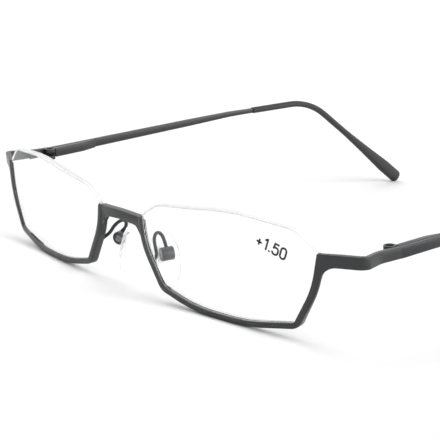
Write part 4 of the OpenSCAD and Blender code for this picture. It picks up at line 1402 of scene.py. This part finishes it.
class GLASSES_OT_temple_tips(SidedPiece, Operator):
    """Models the moulded sleeves that drop behind the ears"""
    bl_idname = "glasses.temple_tips"
    bl_label = "Temple tips"
    piece, node, body, slot = "tip_sleeve", "temple_tip", "{}_arm", "tip_plastic"

    # Power that fills the round section out towards a rectangle: 1 keeps it round
    FULL = 0.75
    # Rounding of the sleeve's mouth: distances from its start and the shares of the section there
    MOUTH = ((0, 0.86), (0.12 * MM, 0.95), (0.35 * MM, 1))
    # Sections between the mouth and the rounded end
    STEPS = 48
    # Power by which the sleeve widens: above 1 it starts slowly
    GROWTH = 1.4
    # Radius by which the dip starts, and how far before it the sleeve's line begins
    DIP_RADIUS = 200 * MM
    LEAD = 12 * MM
    # What is left of the sleeve behind its last section
    LAST = 0.004 * MM

    def model(self, bm, scene):
        ring = bmesh.ops.create_circle(bm, segments=32, radius=0.5, cap_ends=True)["verts"]
        for v in ring:
            v.co.xy = [superellipse(c, 0.5, self.FULL) for c in v.co.xy]
        place = hinge_frame(scene.glasses_temple)
        sweep_closed(bm, ring[0].link_faces[0], [place @ f for f in self.stations(scene)])

    def material(self, scene):
        return finish("moulded_matte_cellulose", moulded_tip, scene.glasses_colours.tip)

    def stations(self, scene):
        """Frames along the sleeve's line: square to it, as thick and as high as the sleeve is there."""
        temple = scene.glasses_temple
        line_from = temple.dip_at - self.LEAD
        end_out = temple.bend_at + temple.drop_length * math.cos(temple.drop)
        end_down = -temple.dip - temple.drop_length * math.sin(temple.drop)
        path = [
            (line_from, 0, 0), (temple.dip_at, 0, self.DIP_RADIUS),
            (temple.bend_at, -temple.dip, temple.ear_radius), (end_out, end_down, 0)]
        line = rounded(path, closed=False, step=math.radians(2))
        total = sum((b - a).length for a, b in zip(line, line[1:]))
        found = []
        for s, share in self.places(temple, total, temple.tip_at - line_from):
            p, along = self.point_at(line, s)
            widen = min(1, max(0, 1 - (total - temple.tip_wide - s) / temple.tip_flare)) ** self.GROWTH
            rest = max(0, 1 - (total - s) / temple.tip_round)
            share *= math.sqrt(1 - rest ** 2)
            thick = between(temple.tip_thickness, temple.tip_end_thickness, widen) * share
            high = between(temple.tip_height, temple.tip_end_height, widen) * share
            up = Vector((0, -along.y, along.x))
            found.append(axes_frame(
                Vector((thick, 0, 0)), up * high, Vector((0, along.x, along.y)),
                Vector((temple_middle(scene), p.x, p.y))))
        return found

    def places(self, temple, total, start):
        """Distances along the line at which the sleeve has a section, with the share left at its mouth."""
        found = [(start + s, share) for s, share in self.MOUTH]
        last = found[-1][0]
        straight = total - temple.tip_round - last
        found += [(last + straight * (k + 1) / self.STEPS, 1) for k in range(self.STEPS)]
        turns = [math.radians(a) for a in range(9, 90, 9)]
        found += [(total - temple.tip_round * (1 - math.sin(turn)), 1) for turn in turns]
        return found + [(total - self.LAST, 1)]

    def point_at(self, line, s):
        """Point and direction of a line, s along it."""
        for a, b in zip(line, line[1:]):
            run = (b - a).length
            if s <= run or b is line[-1]:
                return a + (b - a) * s / run, (b - a).normalized()
            s -= run


class GLASSES_PT_panel(Panel):
    """Sizes, colours and steps of the glasses"""
    bl_label = "Half-frame glasses"
    bl_space_type = "VIEW_3D"
    bl_region_type = "UI"
    bl_category = "Glasses"

    def draw(self, context):
        layout = self.layout
        for step in STEPS:
            layout.operator(step.bl_idname)
        for attribute, group in GROUPS.items():
            box = layout.box()
            box.label(text=group.__doc__)
            values = getattr(context.scene, attribute)
            for name in group.__annotations__:
                box.prop(values, name)


GROUPS = {
    "glasses_lens": LensSizes,
    "glasses_front": FrontSizes,
    "glasses_temple": TempleSizes,
    "glasses_pad": PadSizes,
    "glasses_label": LabelSizes,
    "glasses_colours": FinishColours,
    "glasses_stage": StageSettings,
}
STEPS = [
    GLASSES_OT_stage, GLASSES_OT_rims, GLASSES_OT_bridge, GLASSES_OT_endpieces, GLASSES_OT_lenses,
    GLASSES_OT_cords, GLASSES_OT_label, GLASSES_OT_pad_arms, GLASSES_OT_nose_pads, GLASSES_OT_hinges,
    GLASSES_OT_temples, GLASSES_OT_temple_tips]


def register():
    for group in GROUPS.values():
        bpy.utils.register_class(group)
    for attribute, group in GROUPS.items():
        setattr(bpy.types.Scene, attribute, PointerProperty(type=group))
    for step in STEPS:
        bpy.utils.register_class(step)
    bpy.utils.register_class(GLASSES_PT_panel)


def unregister():
    bpy.utils.unregister_class(GLASSES_PT_panel)
    for step in reversed(STEPS):
        bpy.utils.unregister_class(step)
    for attribute, group in GROUPS.items():
        delattr(bpy.types.Scene, attribute)
        bpy.utils.unregister_class(group)


def main():
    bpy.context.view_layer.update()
    register()
    for step in STEPS:
        family, name = step.bl_idname.split(".")
        getattr(getattr(bpy.ops, family), name)()


if __name__ == "__main__":
    main()
